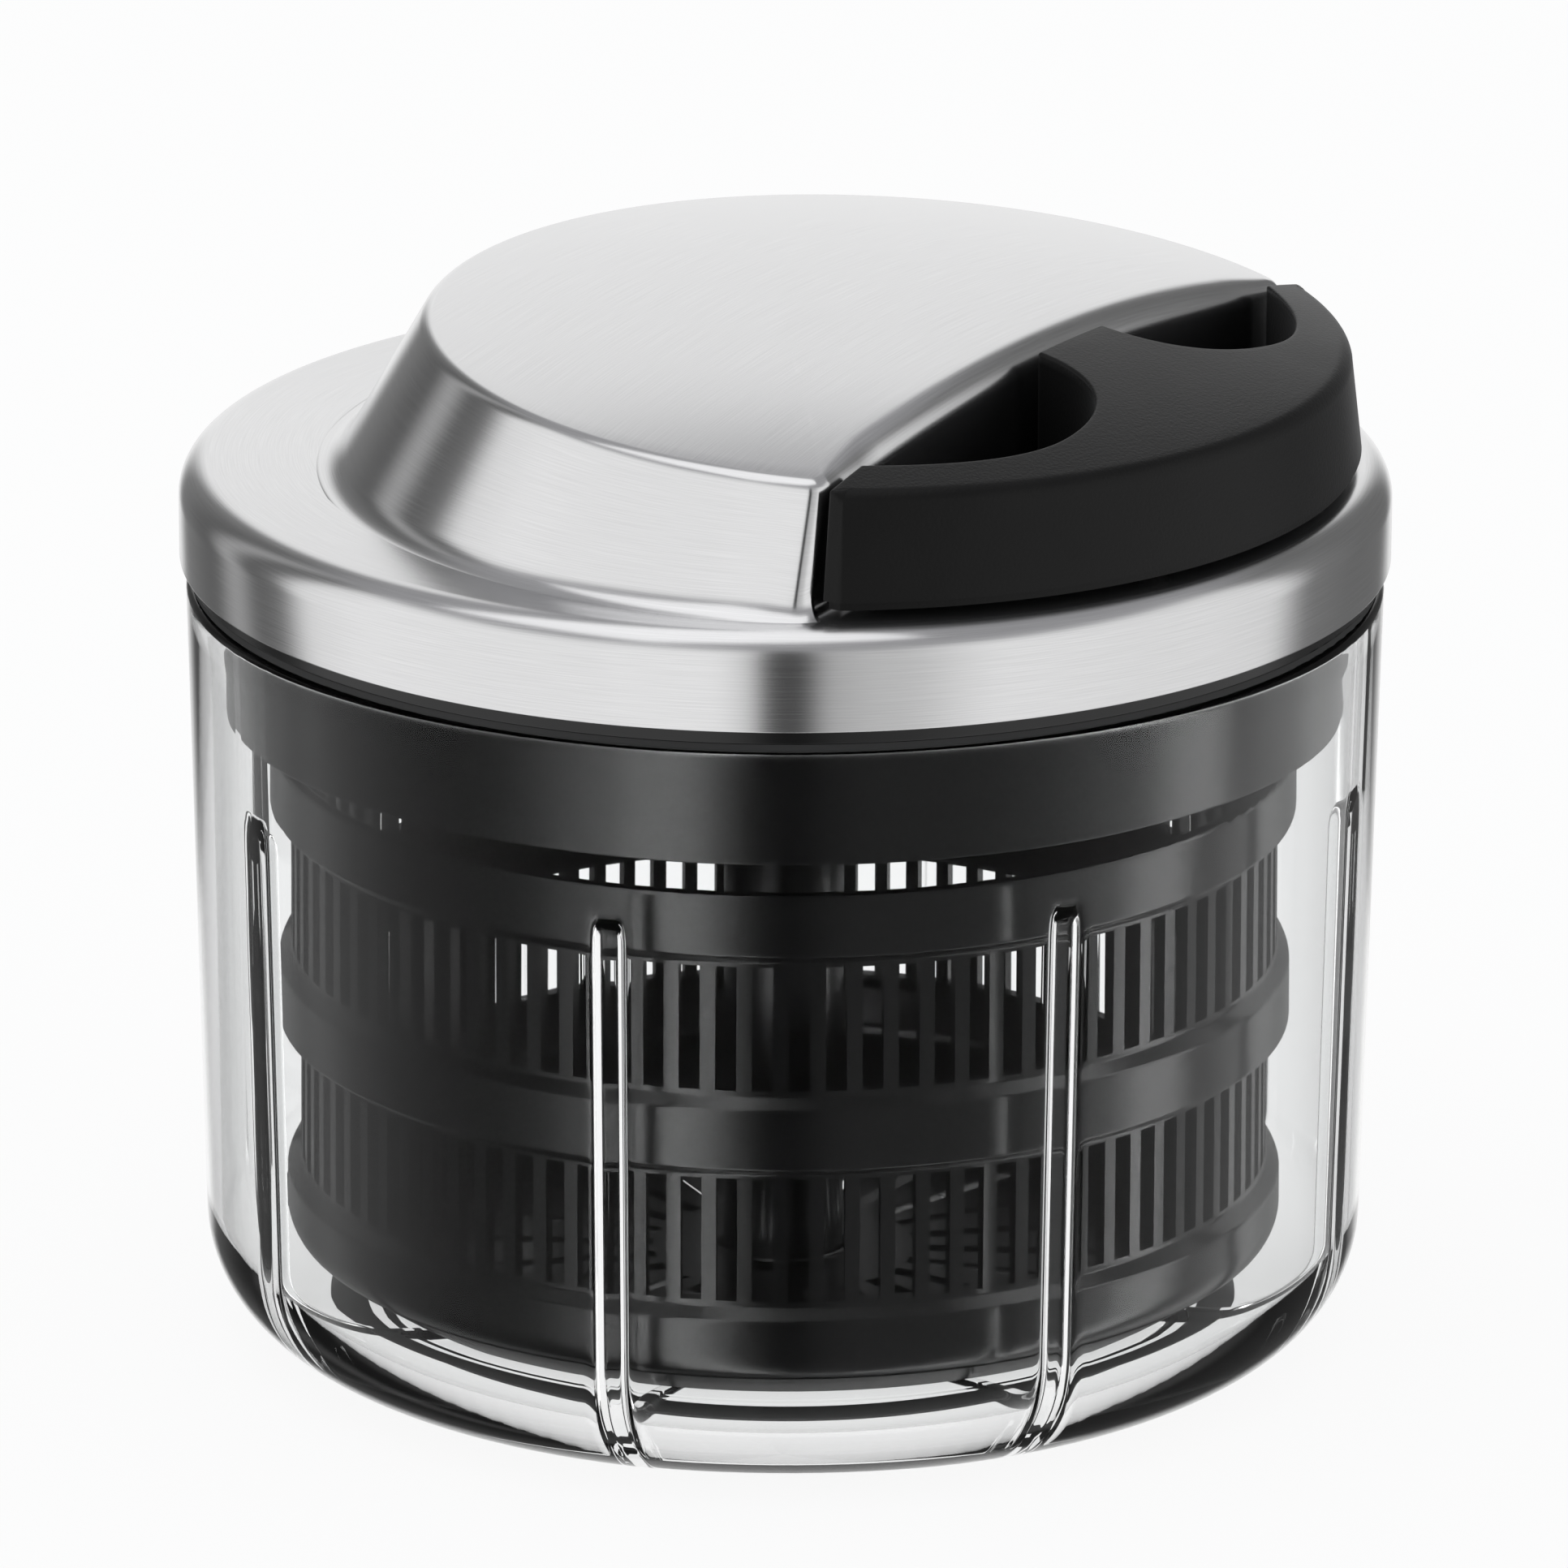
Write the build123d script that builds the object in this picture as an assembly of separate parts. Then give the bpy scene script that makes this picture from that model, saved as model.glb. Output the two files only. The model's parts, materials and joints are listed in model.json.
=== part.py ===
from build123d import *
import math
import os

os.makedirs("parts", exist_ok=True)

# Pull-cord salad spinner. Millimetres. Z is up, the origin is the centre of the base on the
# floor, and the handle is pulled towards -Y.

# ---------------------------------------------------------------- driving dimensions
# clear bowl
bowl_rim_radius = 99.0       # outside, at the rim
bowl_height = 128.9
bowl_draft = 1.2             # degrees
bowl_wall = 3.0
bowl_corner = 19.0           # outside radius of the bottom corner
bowl_floor = 3.0             # thickness of the floor
foot_height = 3.0            # the floor's underside stands this high
foot_lift = 0.5              # the clear foot stays this far off the table
foot_land = 3.0              # clear foot inside the non-slip ring
foot_slope = 0.8
rib_count = 8
rib_width = 8.5
rib_depth = 3.6
rib_top = 101.0
rib_turn = 16.0              # degrees from the pull direction to the first rib
rib_root = 1.0               # the rib starts this deep in the floor
grip_ring_width = 6.0
grip_ring_inset = 1.5        # from the end of the corner rounding
grip_ring_seat = 1.5         # depth of its groove in the foot

# pivot in the bowl's floor
pivot_radius = 4.0
pivot_height = 14.0          # above the floor
pivot_boss_radius = 9.0
pivot_boss_height = 1.2
pivot_skin = 0.6             # bowl left under the pin's seat
pivot_boss_root = 0.5
bush_wall = 2.0
bush_flange_width = 2.5
bush_flange_height = 1.2
bush_cap = 1.5

# fits
running_gap = 0.05           # radial, shaft in bearing
seat_gap = 0.3               # parts that rest or turn past each other
slide_gap = 0.3              # loose plug-in fit

# basket
basket_wall = 2.2
basket_gap = 7.5             # between the lid's skirt and the basket, in plan
basket_height = 92.5         # underside of the floor to the rim
basket_foot_inset = 17.5     # insets count from the basket's rim
lower_band_inset = 2.5
lower_slot_inset = 4.8
middle_band_inset = 1.0
upper_slot_inset = 3.1
lower_band_height = 21.0     # band and slot heights count from the basket's underside
lower_slot_height = 43.5
middle_band_height = 57.5
upper_slot_height = 80.0
taper_height = 10.0
band_step = 2.0
slot_count = 88
slot_width = 3.4
slot_margin = 0.8
floor_slot_count = 24
floor_slot_width = 3.0
floor_slot_start = 22.0
floor_slot_inset = 6.0       # from the foot's edge
column_radius = 10.0
column_wall = 1.5
column_height = 95.5         # from the basket's underside
socket_depth = 12.5
dog_stand = 4.0              # the dog's upper end stands this far out of the socket

# lid: black moulding
skirt_gap = 3.0              # between the bowl's rim and the skirt
skirt_wall = 2.2
skirt_depth = 24.0           # below the steel rim's lower edge
flange_height = 2.4
flange_inset = 0.7           # flange edge inside the steel's outside radius, beyond the sheet
seal_height = 1.4
seal_width = 2.8
plate_height = 7.0           # underside of the plate above the steel rim's lower edge
plate_thickness = 2.5
boss_wall = 2.5
boss_gap = 1.5               # between the dog's upper end and the boss
bush_thickness = 2.45

# lid: steel cover
cover_sheet = 0.8
cover_overhang = 1.0         # outside the bowl's rim
rim_height = 16.0
rim_round = 6.0
step_rise = 1.5              # the step climbs this much from the rim to the axis side
step_width = 26.0            # from the rim's outside to the step's upper end
dome_base_height = 15.0
dome_base_inset = 14.0       # from the rim's radius
dome_base_shift = 13.0       # towards the handle
dome_wall_rise = 30.0        # over this rise the wall narrows and shifts by the next two
dome_wall_narrowing = 10.5
dome_wall_shift = 7.5
crown_radius = 335.0
crown_height = 49.0          # above the steel rim's lower edge
crease_round = 3.0
dome_flare = 3.5             # small sloping foot where the dome meets the step
dome_flare_height = 6.0
dome_flare_sink = 0.8        # the foot starts this far under the step's outer edge

# handle
handle_gap = 1.6             # between the flat face and the handle
handle_clearance = 0.5       # around the cord and its knot
handle_lift = 17.9           # underside above the steel rim's lower edge
handle_inset = 4.5           # the handle's outermost point inside the rim's radius
handle_arc_forward = 5.0     # centre of the handle's outer arc, before the axis
handle_depth = 42.5          # from the flat face to the outermost point
handle_end_inset = 26.5      # the handle's ends inside the rim's radius
handle_draft = 6.0           # degrees, outer wall and ends
handle_stand = 0.3           # top surface above the dome's crown
handle_edge_round = 2.3
handle_back_spare = 10.0     # the drafted block reaches this far behind the handle's back
base_plate_height = 1.4
base_plate_inset = 0.8
recess_floor = 2.0
tongue_half_width = 9.6
tongue_flare = 1.5           # the tongue widens this much towards its root
recess_depth = 20.0          # plan depth from the flat face
recess_end_wall = 11.7       # handle left outside each recess
knot_radius = 3.4
knot_set_back = 17.0         # knot centre behind the tongue's face
handle_screw_spread = 24.0
handle_screw_inset = 10.0    # from the handle's outermost point

# cord, reel and one-way drive
cord_radius = 1.1
winding_radius = 22.0        # to the cord's centre
winding_pitch = 2.4
winding_turns = 3.5
cord_gap = 0.2
cord_joint_gap = 0.1         # between the cord's modelled stretches
reel_flange_radius = 30.0
reel_flange = 1.8
drum_wall = 2.2
hub_wall = 5.0
axle_radius = 3.0
axle_head_radius = 5.0
axle_head_height = 1.6
shaft_radius = 5.0
shaft_bore_depth = 12.3
wheel_height = 7.0
wheel_teeth = 12
wheel_radius = 15.0
tooth_depth = 2.8
reel_wheel_gap = 0.8
pawl_pin_radius = 1.6
pawl_pin_distance = 23.5
pawl_height = 5.2
pawl_width = 5.0
pawl_spring_wire = 0.4
pawl_spring_gap = 0.2
pawl_lift = 0.9              # underside above the wheel's underside
pawl_tip_gap = 0.15
pawl_pin_drop = 2.0          # the pin stands this far outside the wheel, along the push
pin_head_width = 1.0
pin_head_height = 0.6
dog_flats = 12.0
dog_height = 14.5
dog_floor = 3.0
dog_pin_radius = 1.2
dog_pin_height = 6.5         # above the shaft's lower end
dog_pin_inset = 0.3
spring_height = 5.5
spring_band = 0.4
spring_turns = 6
spring_gap = 0.7
hub_set_down = 1.5           # the reel's hub ends this far under the spring cover
cup_radius = 28.5
cup_wall = 2.0
frame_plate = 2.0
frame_ring_width = 10.0
frame_gap = 1.3              # over the reel
frame_bore_gap = 0.6
frame_edge = 1.0             # top plate outside the posts
post_radius = 4.5
post_gap = 3.0               # beside the reel's flange
post_count = 3
spring_cover_height = 1.5
guide_bore = 1.6
guide_wall = 1.2
guide_flange = 1.6
guide_lip = 1.5              # the handle rests against it
guide_depth = 1.4            # inside the sheet
guide_run_in = 4.5           # the cord turns straight this far inside the flat face
guide_flare = 1.0
screw_radius = 1.45
screw_head_radius = 2.9
screw_head_height = 1.6
frame_screw_length = 11.0
handle_screw_length = 9.0

# ---------------------------------------------------------------- sizes that follow
cover_radius = bowl_rim_radius + cover_overhang
skirt_radius = bowl_rim_radius - bowl_wall - skirt_gap
basket_rim_radius = skirt_radius - basket_gap
basket_foot_radius = basket_rim_radius - basket_foot_inset
lower_band_radius = basket_rim_radius - lower_band_inset
lower_slot_radius = basket_rim_radius - lower_slot_inset
middle_band_radius = basket_rim_radius - middle_band_inset
upper_slot_radius = basket_rim_radius - upper_slot_inset
floor_slot_end = basket_foot_radius - floor_slot_inset
step_inner_radius = cover_radius - step_width
dome_base_radius = cover_radius - dome_base_inset
handle_reach = cover_radius - handle_inset
handle_arc_radius = handle_reach - handle_arc_forward
handle_half_width = cover_radius - handle_end_inset
cut_distance = handle_reach - handle_depth
recess_half_width = handle_half_width - recess_end_wall
handle_screw_reach = handle_reach - handle_screw_inset
foot_z = foot_lift
floor_top = foot_height + bowl_floor
boss_top = floor_top + pivot_boss_height
flange_bottom = boss_top + seat_gap
basket_z = flange_bottom + bush_flange_height + seat_gap
bush_radius = pivot_radius + running_gap + bush_wall
bush_top = floor_top + pivot_height + seat_gap + bush_cap
seal_z = bowl_height + seat_gap
rim_z = seal_z + seal_height + flange_height
moulding_radius = cover_radius - cover_sheet - running_gap
plate_z = rim_z + plate_height
plate_top = plate_z + plate_thickness
bush_outer = shaft_radius + running_gap + bush_thickness
boss_radius = bush_outer + boss_wall
boss_bottom = basket_z + column_height + dog_stand + boss_gap
wheel_z = plate_top + seat_gap
wheel_top = wheel_z + wheel_height
reel_z = wheel_top + reel_wheel_gap
winding_height = winding_pitch * winding_turns
drum_radius = winding_radius - cord_radius - seat_gap
winding_z = reel_z + reel_flange + cord_radius + cord_gap
cord_z = winding_z + winding_height
reel_top = cord_z + cord_radius + cord_gap + reel_flange
hub_radius = axle_radius + running_gap + hub_wall
frame_top = reel_top + frame_gap
cup_z = frame_top + frame_plate
spring_z = cup_z + spring_gap
cup_top = spring_z + spring_height + spring_gap
hub_top = cup_top - hub_set_down
cover_top = cup_top + spring_cover_height
post_distance = reel_flange_radius + post_gap + post_radius
handle_z = rim_z + handle_lift
face_y = -(cut_distance + handle_gap)
crown_z = rim_z + crown_height - crown_radius
dog_z = basket_z + column_height - dog_height + dog_stand
shaft_z = dog_z + dog_floor
shaft_top = wheel_top
exit_angle = 180.0 + math.degrees(math.asin(winding_radius / (cut_distance - guide_run_in)))
knot_y = face_y - knot_set_back


FROM_BASE = (Align.CENTER, Align.CENTER, Align.MIN)


# ---------------------------------------------------------------- helpers
def rounded_outline(corners):
    """Closed face through (x, y, radius) corners, each corner rounded by its own radius."""
    count = len(corners)
    points = [Vector(x, y) for x, y, _ in corners]
    edges = []
    ends = []
    for i in range(count):
        corner = points[i]
        radius = corners[i][2]
        back = (points[i - 1] - corner).normalized()
        ahead = (points[(i + 1) % count] - corner).normalized()
        if radius <= 0:
            ends.append((corner, corner))
            continue
        half = math.radians(back.get_angle(ahead)) / 2
        reach = radius / math.tan(half)
        start = corner + back * reach
        finish = corner + ahead * reach
        middle = corner + (back + ahead).normalized() * (radius / math.sin(half) - radius)
        edges.append(ThreePointArc(start, middle, finish))
        ends.append((start, finish))
    for i in range(count):
        start = ends[i][1]
        finish = ends[(i + 1) % count][0]
        if (finish - start).length > 1e-6:
            edges.append(Line(start, finish))
    return make_face(edges)


def turned(corners):
    """Solid of revolution about Z from (radius, height, rounding) corners."""
    return revolve(Plane.XZ * rounded_outline(corners), Axis.Z)


def tube(outer, inner, low, high):
    """Upright ring or, with inner 0, an upright cylinder."""
    if inner <= 0:
        return Pos(0, 0, low) * Cylinder(outer, high - low, align=FROM_BASE)
    return turned([(inner, low, 0), (outer, low, 0), (outer, high, 0), (inner, high, 0)])


def upright(face, low, high):
    """Face drawn in plan, raised from low to high."""
    return extrude(Pos(0, 0, low) * face, high - low)


def slot_at(angle, inner, outer, width, low, high):
    """Radial box at an angle, used to cut slots."""
    block = Box(outer - inner, width, high - low, align=(Align.MIN, Align.CENTER, Align.MIN))
    return Rot(0, 0, angle) * Pos(inner, 0, low) * block


def screw(length):
    """Countersunk screw, head downwards, its head's face at z = 0."""
    head = Cone(screw_head_radius, screw_radius, screw_head_height, align=FROM_BASE)
    return head + Cylinder(screw_radius, length, align=FROM_BASE)


def bowl_outer_radius(height):
    """Outside radius of the bowl's drafted wall at a height."""
    return bowl_rim_radius - (bowl_height - height) * math.tan(math.radians(bowl_draft))


# ---------------------------------------------------------------- bowl group
def make_bowl():
    low_radius = bowl_outer_radius(foot_z)
    inner_low = low_radius - bowl_wall
    foot_inner = low_radius - bowl_corner - grip_ring_inset - grip_ring_width - foot_land
    body = turned([
        (0, foot_height, 0),
        (foot_inner, foot_height, 1.0),
        (foot_inner + foot_slope, foot_z, 0.6),
        (low_radius, foot_z, bowl_corner),
        (bowl_rim_radius, bowl_height, 1.0),
        (bowl_rim_radius - bowl_wall, bowl_height, 1.0),
        (inner_low, floor_top, bowl_corner - bowl_wall),
        (0, floor_top, 0),
    ])
    for i in range(rib_count):
        body += make_rib(-90 + rib_turn + i * 360 / rib_count)
    body += tube(pivot_boss_radius, 0, floor_top - pivot_boss_root, boss_top)
    body -= tube(pivot_radius, 0, foot_height + pivot_skin, boss_top + 1)
    body -= tube(*grip_ring_radii(), foot_z - 1, grip_ring_top())
    return body


def make_rib(angle):
    """Upright water rib on the inside of the wall, round in section, running into the corner."""
    low = floor_top - rib_root
    radius_low = bowl_outer_radius(low) - bowl_wall / 2
    radius_high = bowl_outer_radius(rib_top) - bowl_wall / 2
    reach = rib_depth + bowl_wall / 2
    outline = rounded_outline([
        (radius_low - bowl_corner, low, 0),
        (radius_low, low, bowl_corner - bowl_wall / 2),
        (radius_high, rib_top, 0),
        (radius_high - reach, rib_top, reach * 0.9),
        (radius_low - reach, floor_top + 2, bowl_corner - bowl_wall - rib_depth),
        (radius_low - bowl_corner, floor_top + 0.6, 0),
    ])
    rib = extrude(Plane.XZ * outline, rib_width / 2, both=True)
    return Rot(0, 0, angle) * rib


def grip_ring_radii():
    outer = bowl_outer_radius(foot_z) - bowl_corner - grip_ring_inset
    return outer, outer - grip_ring_width


def grip_ring_top():
    return foot_z + grip_ring_seat


def make_grip_ring():
    outer, inner = grip_ring_radii()
    top = grip_ring_top()
    return turned([(inner, 0, 0.4), (outer, 0, 0.4), (outer, top, 0), (inner, top, 0)])


def make_pivot_pin():
    top = floor_top + pivot_height
    return turned([
        (0, foot_height + pivot_skin, 0),
        (pivot_radius, foot_height + pivot_skin, 0),
        (pivot_radius, top, pivot_radius * 0.6),
        (0, top, 0),
    ])


# ---------------------------------------------------------------- basket group
def make_pivot_bush():
    bore = pivot_radius + running_gap
    inside_top = floor_top + pivot_height + seat_gap
    return turned([
        (bore, flange_bottom, 0),
        (bush_radius + bush_flange_width, flange_bottom, 0.3),
        (bush_radius + bush_flange_width, flange_bottom + bush_flange_height, 0.3),
        (bush_radius, flange_bottom + bush_flange_height, 0),
        (bush_radius, bush_top, 0.5),
        (0, bush_top, 0),
        (0, inside_top, 0),
        (bore, inside_top, 0),
    ])


def basket_profile(inset):
    """Outside line of the basket as (radius, height) pairs, moved inwards by inset."""
    heights = [
        (basket_foot_radius, 0.0),
        (lower_band_radius, taper_height),
        (lower_band_radius, lower_band_height - band_step),
        (lower_slot_radius, lower_band_height),
        (lower_slot_radius, lower_slot_height),
        (middle_band_radius, lower_slot_height + band_step),
        (middle_band_radius, middle_band_height - band_step),
        (upper_slot_radius, middle_band_height),
        (upper_slot_radius, upper_slot_height),
        (basket_rim_radius, upper_slot_height + band_step),
        (basket_rim_radius, basket_height),
    ]
    return [(radius - inset, basket_z + height) for radius, height in heights]


def make_basket():
    outer = basket_profile(0)
    inner = basket_profile(basket_wall)
    floor_upper = basket_z + basket_wall
    hub_bore = bush_radius + running_gap
    hub_bore_top = bush_top + seat_gap
    hub_top_z = hub_bore_top + basket_wall
    socket_z = basket_z + column_height - socket_depth
    column_inner = column_radius - column_wall
    corners = [(hub_bore, basket_z, 0), (outer[0][0], outer[0][1], 2.0)]
    corners += [(outer[1][0], outer[1][1], 6.0)]
    corners += [(radius, height, 0.8) for radius, height in outer[2:10]]
    corners += [(outer[10][0], outer[10][1], 0.8), (inner[10][0], inner[10][1], 0.8)]
    corners += [(radius, height, 0.8) for radius, height in reversed(inner[2:10])]
    corners += [(inner[1][0], inner[1][1], 4.0), (inner[0][0], floor_upper, 1.5)]
    corners += [
        (column_radius, floor_upper, 1.5),
        (column_radius, basket_z + column_height, 0.5),
        (column_inner, basket_z + column_height, 0.3),
        (column_inner, socket_z, 0),
        (column_inner - 1.0, socket_z, 0),
        (column_inner - 1.0, hub_top_z, 0),
        (0, hub_top_z, 0),
        (0, hub_bore_top, 0),
        (hub_bore, hub_bore_top, 0),
    ]
    body = turned(corners)
    cuts = []
    zones = [
        (lower_slot_radius, lower_band_height, lower_slot_height),
        (upper_slot_radius, middle_band_height, upper_slot_height),
    ]
    for radius, low, high in zones:
        for i in range(slot_count):
            angle = (i + 0.5) * 360 / slot_count
            cuts.append(slot_at(angle, radius - basket_wall - 2, radius + 2, slot_width,
                                basket_z + low + slot_margin, basket_z + high - slot_margin))
    for i in range(floor_slot_count):
        angle = i * 360 / floor_slot_count
        cuts.append(slot_at(angle, floor_slot_start, floor_slot_end, floor_slot_width,
                            basket_z - 1, floor_upper + 1))
    return body - cuts


def hexagon(flats):
    """Regular hexagon by its width across flats."""
    return RegularPolygon(flats / 2, 6, major_radius=False)


def make_drive_socket():
    low = basket_z + column_height - socket_depth
    high = basket_z + column_height
    body = tube(column_radius - column_wall, 0, low, high)
    return body - upright(hexagon(dog_flats + 2 * slide_gap), low - 1, high + 1)


# ---------------------------------------------------------------- lid moulding group
def make_lid_body():
    flange_low = rim_z - flange_height
    flange_radius = cover_radius - cover_sheet - flange_inset
    skirt_inner = skirt_radius - skirt_wall
    return turned([
        (bush_outer, boss_bottom, 0),
        (boss_radius, boss_bottom, 0.4),
        (boss_radius, plate_z, 1.5),
        (skirt_inner, plate_z, 2.0),
        (skirt_inner, rim_z - skirt_depth, 0.4),
        (skirt_radius, rim_z - skirt_depth, 0.4),
        (skirt_radius, flange_low, 0),
        (flange_radius, flange_low, 0.4),
        (flange_radius, rim_z - 0.1, 0),
        (moulding_radius, rim_z + 0.8, 0),
        (moulding_radius, plate_top, 2.0),
        (bush_outer, plate_top, 0),
    ])


def make_seal_ring():
    outer = cover_radius - cover_sheet - flange_inset - 0.3
    return turned([
        (outer - seal_width, seal_z, 0.5),
        (outer, seal_z, 0.5),
        (outer, seal_z + seal_height, 0),
        (outer - seal_width, seal_z + seal_height, 0),
    ])


def make_drive_bush():
    return tube(bush_outer, shaft_radius + running_gap, boss_bottom, plate_top)


# ---------------------------------------------------------------- steel cover
def dome_section(height, thickness):
    """Circle of the dome's wall at a height above the rim's lower edge, sheet thickness taken off."""
    share = (height - dome_base_height) / dome_wall_rise
    radius = dome_base_radius - dome_wall_narrowing * share - thickness
    shift = dome_base_shift + dome_wall_shift * share
    return Pos(0, -shift, rim_z + height) * Circle(radius)


def crown_ball(sink):
    """Ball whose top is the crown of the lid, lowered by sink, its seam kept off the crown."""
    return Pos(0, 0, crown_z) * Rot(90, 90, 0) * Sphere(crown_radius - sink)


def behind_flat_face(thickness):
    """Everything on the axis side of the flat face behind the handle."""
    size = 4 * cover_radius
    return Pos(0, size / 2 - cut_distance + thickness, rim_z) * Box(size, size, size)


def is_dome_crease(edge):
    """True for the dome's upper outline and for the two corners beside its flat face."""
    if edge.center().Z > rim_z + dome_base_height + 9:
        return True
    return edge.bounding_box().size.Z > 12


def cover_block(thickness, rounding):
    """Solid block of the cover's outside form, or of its inside when a thickness is taken off."""
    low = rim_z - (1.0 if thickness > 0 else 0.0)
    step_top = rim_z + rim_height - thickness
    radius = cover_radius - thickness
    base = turned([
        (0, low, 0),
        (radius, low, 0),
        (radius, step_top, rim_round - thickness),
        (step_inner_radius, step_top + step_rise, 0),
        (0, step_top + step_rise, 0),
    ])
    wall_top = dome_base_height + dome_wall_rise + 15
    dome = loft([dome_section(height, thickness) for height in (dome_base_height - 3, wall_top)])
    dome &= crown_ball(thickness)
    dome &= behind_flat_face(thickness)
    dome = fillet([edge for edge in dome.edges() if is_dome_crease(edge)], rounding)
    flare_radius = dome_base_radius + dome_flare - thickness
    flare_foot = Pos(0, -dome_base_shift, step_top - dome_flare_sink) * Circle(flare_radius)
    flare_head = dome_section(rim_height - dome_flare_sink + dome_flare_height, thickness)
    flare = loft([flare_foot, flare_head]) & behind_flat_face(thickness)
    return base + flare + dome


def make_lid_cover():
    shell = cover_block(0, crease_round) - cover_block(cover_sheet, crease_round - cover_sheet)
    hole = Pos(0, -cut_distance, cord_z) * Rot(90, 0, 0) * Cylinder(guide_bore + guide_wall, 6)
    return shell - hole


# ---------------------------------------------------------------- mechanism in the lid
def post_places():
    """Plan places of the frame's posts, one of them at the back."""
    places = []
    for i in range(post_count):
        angle = math.radians(90 + i * 360 / post_count)
        places.append((post_distance * math.cos(angle), post_distance * math.sin(angle)))
    return places


def make_frame():
    """Bridge over the reel: foot ring, posts, top plate and the cup for the rewind spring."""
    half = frame_ring_width / 2
    body = tube(post_distance + half, post_distance - half, plate_top, plate_top + frame_plate)
    for x, y in post_places():
        body += Pos(x, y, 0) * tube(post_radius, 0, plate_top, frame_top)
    plate_radius = post_distance + post_radius + frame_edge
    body += tube(plate_radius, hub_radius + frame_bore_gap, frame_top, cup_z)
    body += tube(cup_radius, cup_radius - cup_wall, cup_z, cup_top)
    for x, y in post_places():
        body -= Pos(x, y, plate_z) * screw(frame_screw_length)
    return body


def make_spring_cover():
    return tube(cup_radius, axle_radius, cup_top, cover_top)


def make_rewind_spring():
    """Flat spiral band made of half circles that grow by half a pitch each time."""
    first = hub_radius + seat_gap
    last = cup_radius - cup_wall - seat_gap
    pitch = (last - first - spring_band) / spring_turns
    edges = []
    for side in (0, 1):
        for k in range(2 * spring_turns):
            near = (-1) ** k * (first + side * spring_band + k * pitch / 2)
            far = -((-1) ** k) * (first + side * spring_band + (k + 1) * pitch / 2)
            centre = (near + far) / 2
            radius = abs(near - far) / 2
            top = radius if k % 2 == 0 else -radius
            edges.append(ThreePointArc((near, 0), (centre, top), (far, 0)))
    edges.append(Line((first, 0), (first + spring_band, 0)))
    edges.append(Line((last - spring_band, 0), (last, 0)))
    return upright(make_face(edges), spring_z, spring_z + spring_height)


def make_reel_axle():
    return turned([
        (0, shaft_top - shaft_bore_depth + 0.5, 0),
        (axle_radius, shaft_top - shaft_bore_depth + 0.5, 0.4),
        (axle_radius, cover_top, 0),
        (axle_head_radius, cover_top, 0),
        (axle_head_radius, cover_top + axle_head_height, 0.6),
        (0, cover_top + axle_head_height, 0),
    ])


def make_reel():
    bore = axle_radius + running_gap
    upper = reel_top - reel_flange
    drum_inner = drum_radius - drum_wall
    body = turned([
        (bore, wheel_top + seat_gap, 0),
        (hub_radius, wheel_top + seat_gap, 0),
        (hub_radius, reel_z, 0),
        (reel_flange_radius, reel_z, 0.6),
        (reel_flange_radius, reel_z + reel_flange, 0.6),
        (drum_radius, reel_z + reel_flange, 0.4),
        (drum_radius, upper, 0.4),
        (reel_flange_radius, upper, 0.6),
        (reel_flange_radius, reel_top, 0.6),
        (drum_inner, reel_top, 0.4),
        (drum_inner, reel_z + reel_flange, 0.4),
        (hub_radius, reel_z + reel_flange, 0.4),
        (hub_radius, hub_top, 0.4),
        (bore, hub_top, 0),
    ])
    pin_hole = Pos(*pawl_pin_place(), 0) * tube(pawl_pin_radius, 0, reel_z - 1, reel_top)
    for turn in (0, 180):
        body -= Rot(0, 0, turn) * pin_hole
    return body


def make_cord_coil():
    """The turns on the reel, ending where the cord leaves for the guide."""
    path = Helix(winding_pitch, winding_height, winding_radius)
    start = Plane(origin=path @ 0, z_dir=path % 0)
    coil = sweep(start * Circle(cord_radius), path=path, is_frenet=True)
    return Pos(0, 0, winding_z) * Rot(0, 0, exit_angle - 360 * winding_turns) * coil


def cord_exit():
    """Point on the winding where the cord leaves for the guide."""
    angle = math.radians(exit_angle)
    return Vector(winding_radius * math.cos(angle), winding_radius * math.sin(angle), cord_z)


def cord_tube(points, radius):
    """Round cord along a line, or along two runs joined by a tangent arc."""
    if len(points) == 2:
        path = Line(points[0], points[1])
    else:
        path = FilletPolyline(*points, radius=radius)
    return sweep(Plane(origin=path @ 0, z_dir=path % 0) * Circle(cord_radius), path=path)


def make_cord_inner():
    """Stretch from the reel through the guide, up to the flat face."""
    turn = Vector(0, -cut_distance + guide_run_in, cord_z)
    end = Vector(0, -cut_distance - guide_lip, cord_z)
    start = cord_exit() + (turn - cord_exit()).normalized() * cord_joint_gap
    return cord_tube([start, turn, end], 10.0)


def make_cord_outer():
    """Stretch from the guide to the knot in the handle."""
    start = Vector(0, -cut_distance - guide_lip - cord_joint_gap, cord_z)
    return cord_tube([start, Vector(0, knot_y, cord_z)], 0)


def make_cord_guide():
    """Flanged eyelet through the flat face, its bore flared on the inside."""
    bore = guide_bore
    outer = guide_bore + guide_wall
    lip = outer + guide_flange
    profile = rounded_outline([
        (bore, -guide_lip, 0.3),
        (lip, -guide_lip, 0.3),
        (lip, 0, 0),
        (outer, 0, 0),
        (outer, cover_sheet, 0),
        (lip, cover_sheet, 0),
        (lip, cover_sheet + guide_depth, 0.3),
        (bore + guide_flare, cover_sheet + guide_depth, 0.5),
        (bore, cover_sheet, 0.5),
    ])
    eyelet = revolve(Plane.XZ * profile, Axis.Z)
    return Pos(0, -cut_distance, cord_z) * Rot(-90, 0, 0) * eyelet


# ---------------------------------------------------------------- one-way drive
def pawl_pin_place():
    """Plan place of the first pawl's pin, measured from the tooth that it pushes."""
    along = wheel_radius + pawl_pin_drop
    return (math.sqrt(pawl_pin_distance**2 - along**2), -along)


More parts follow.
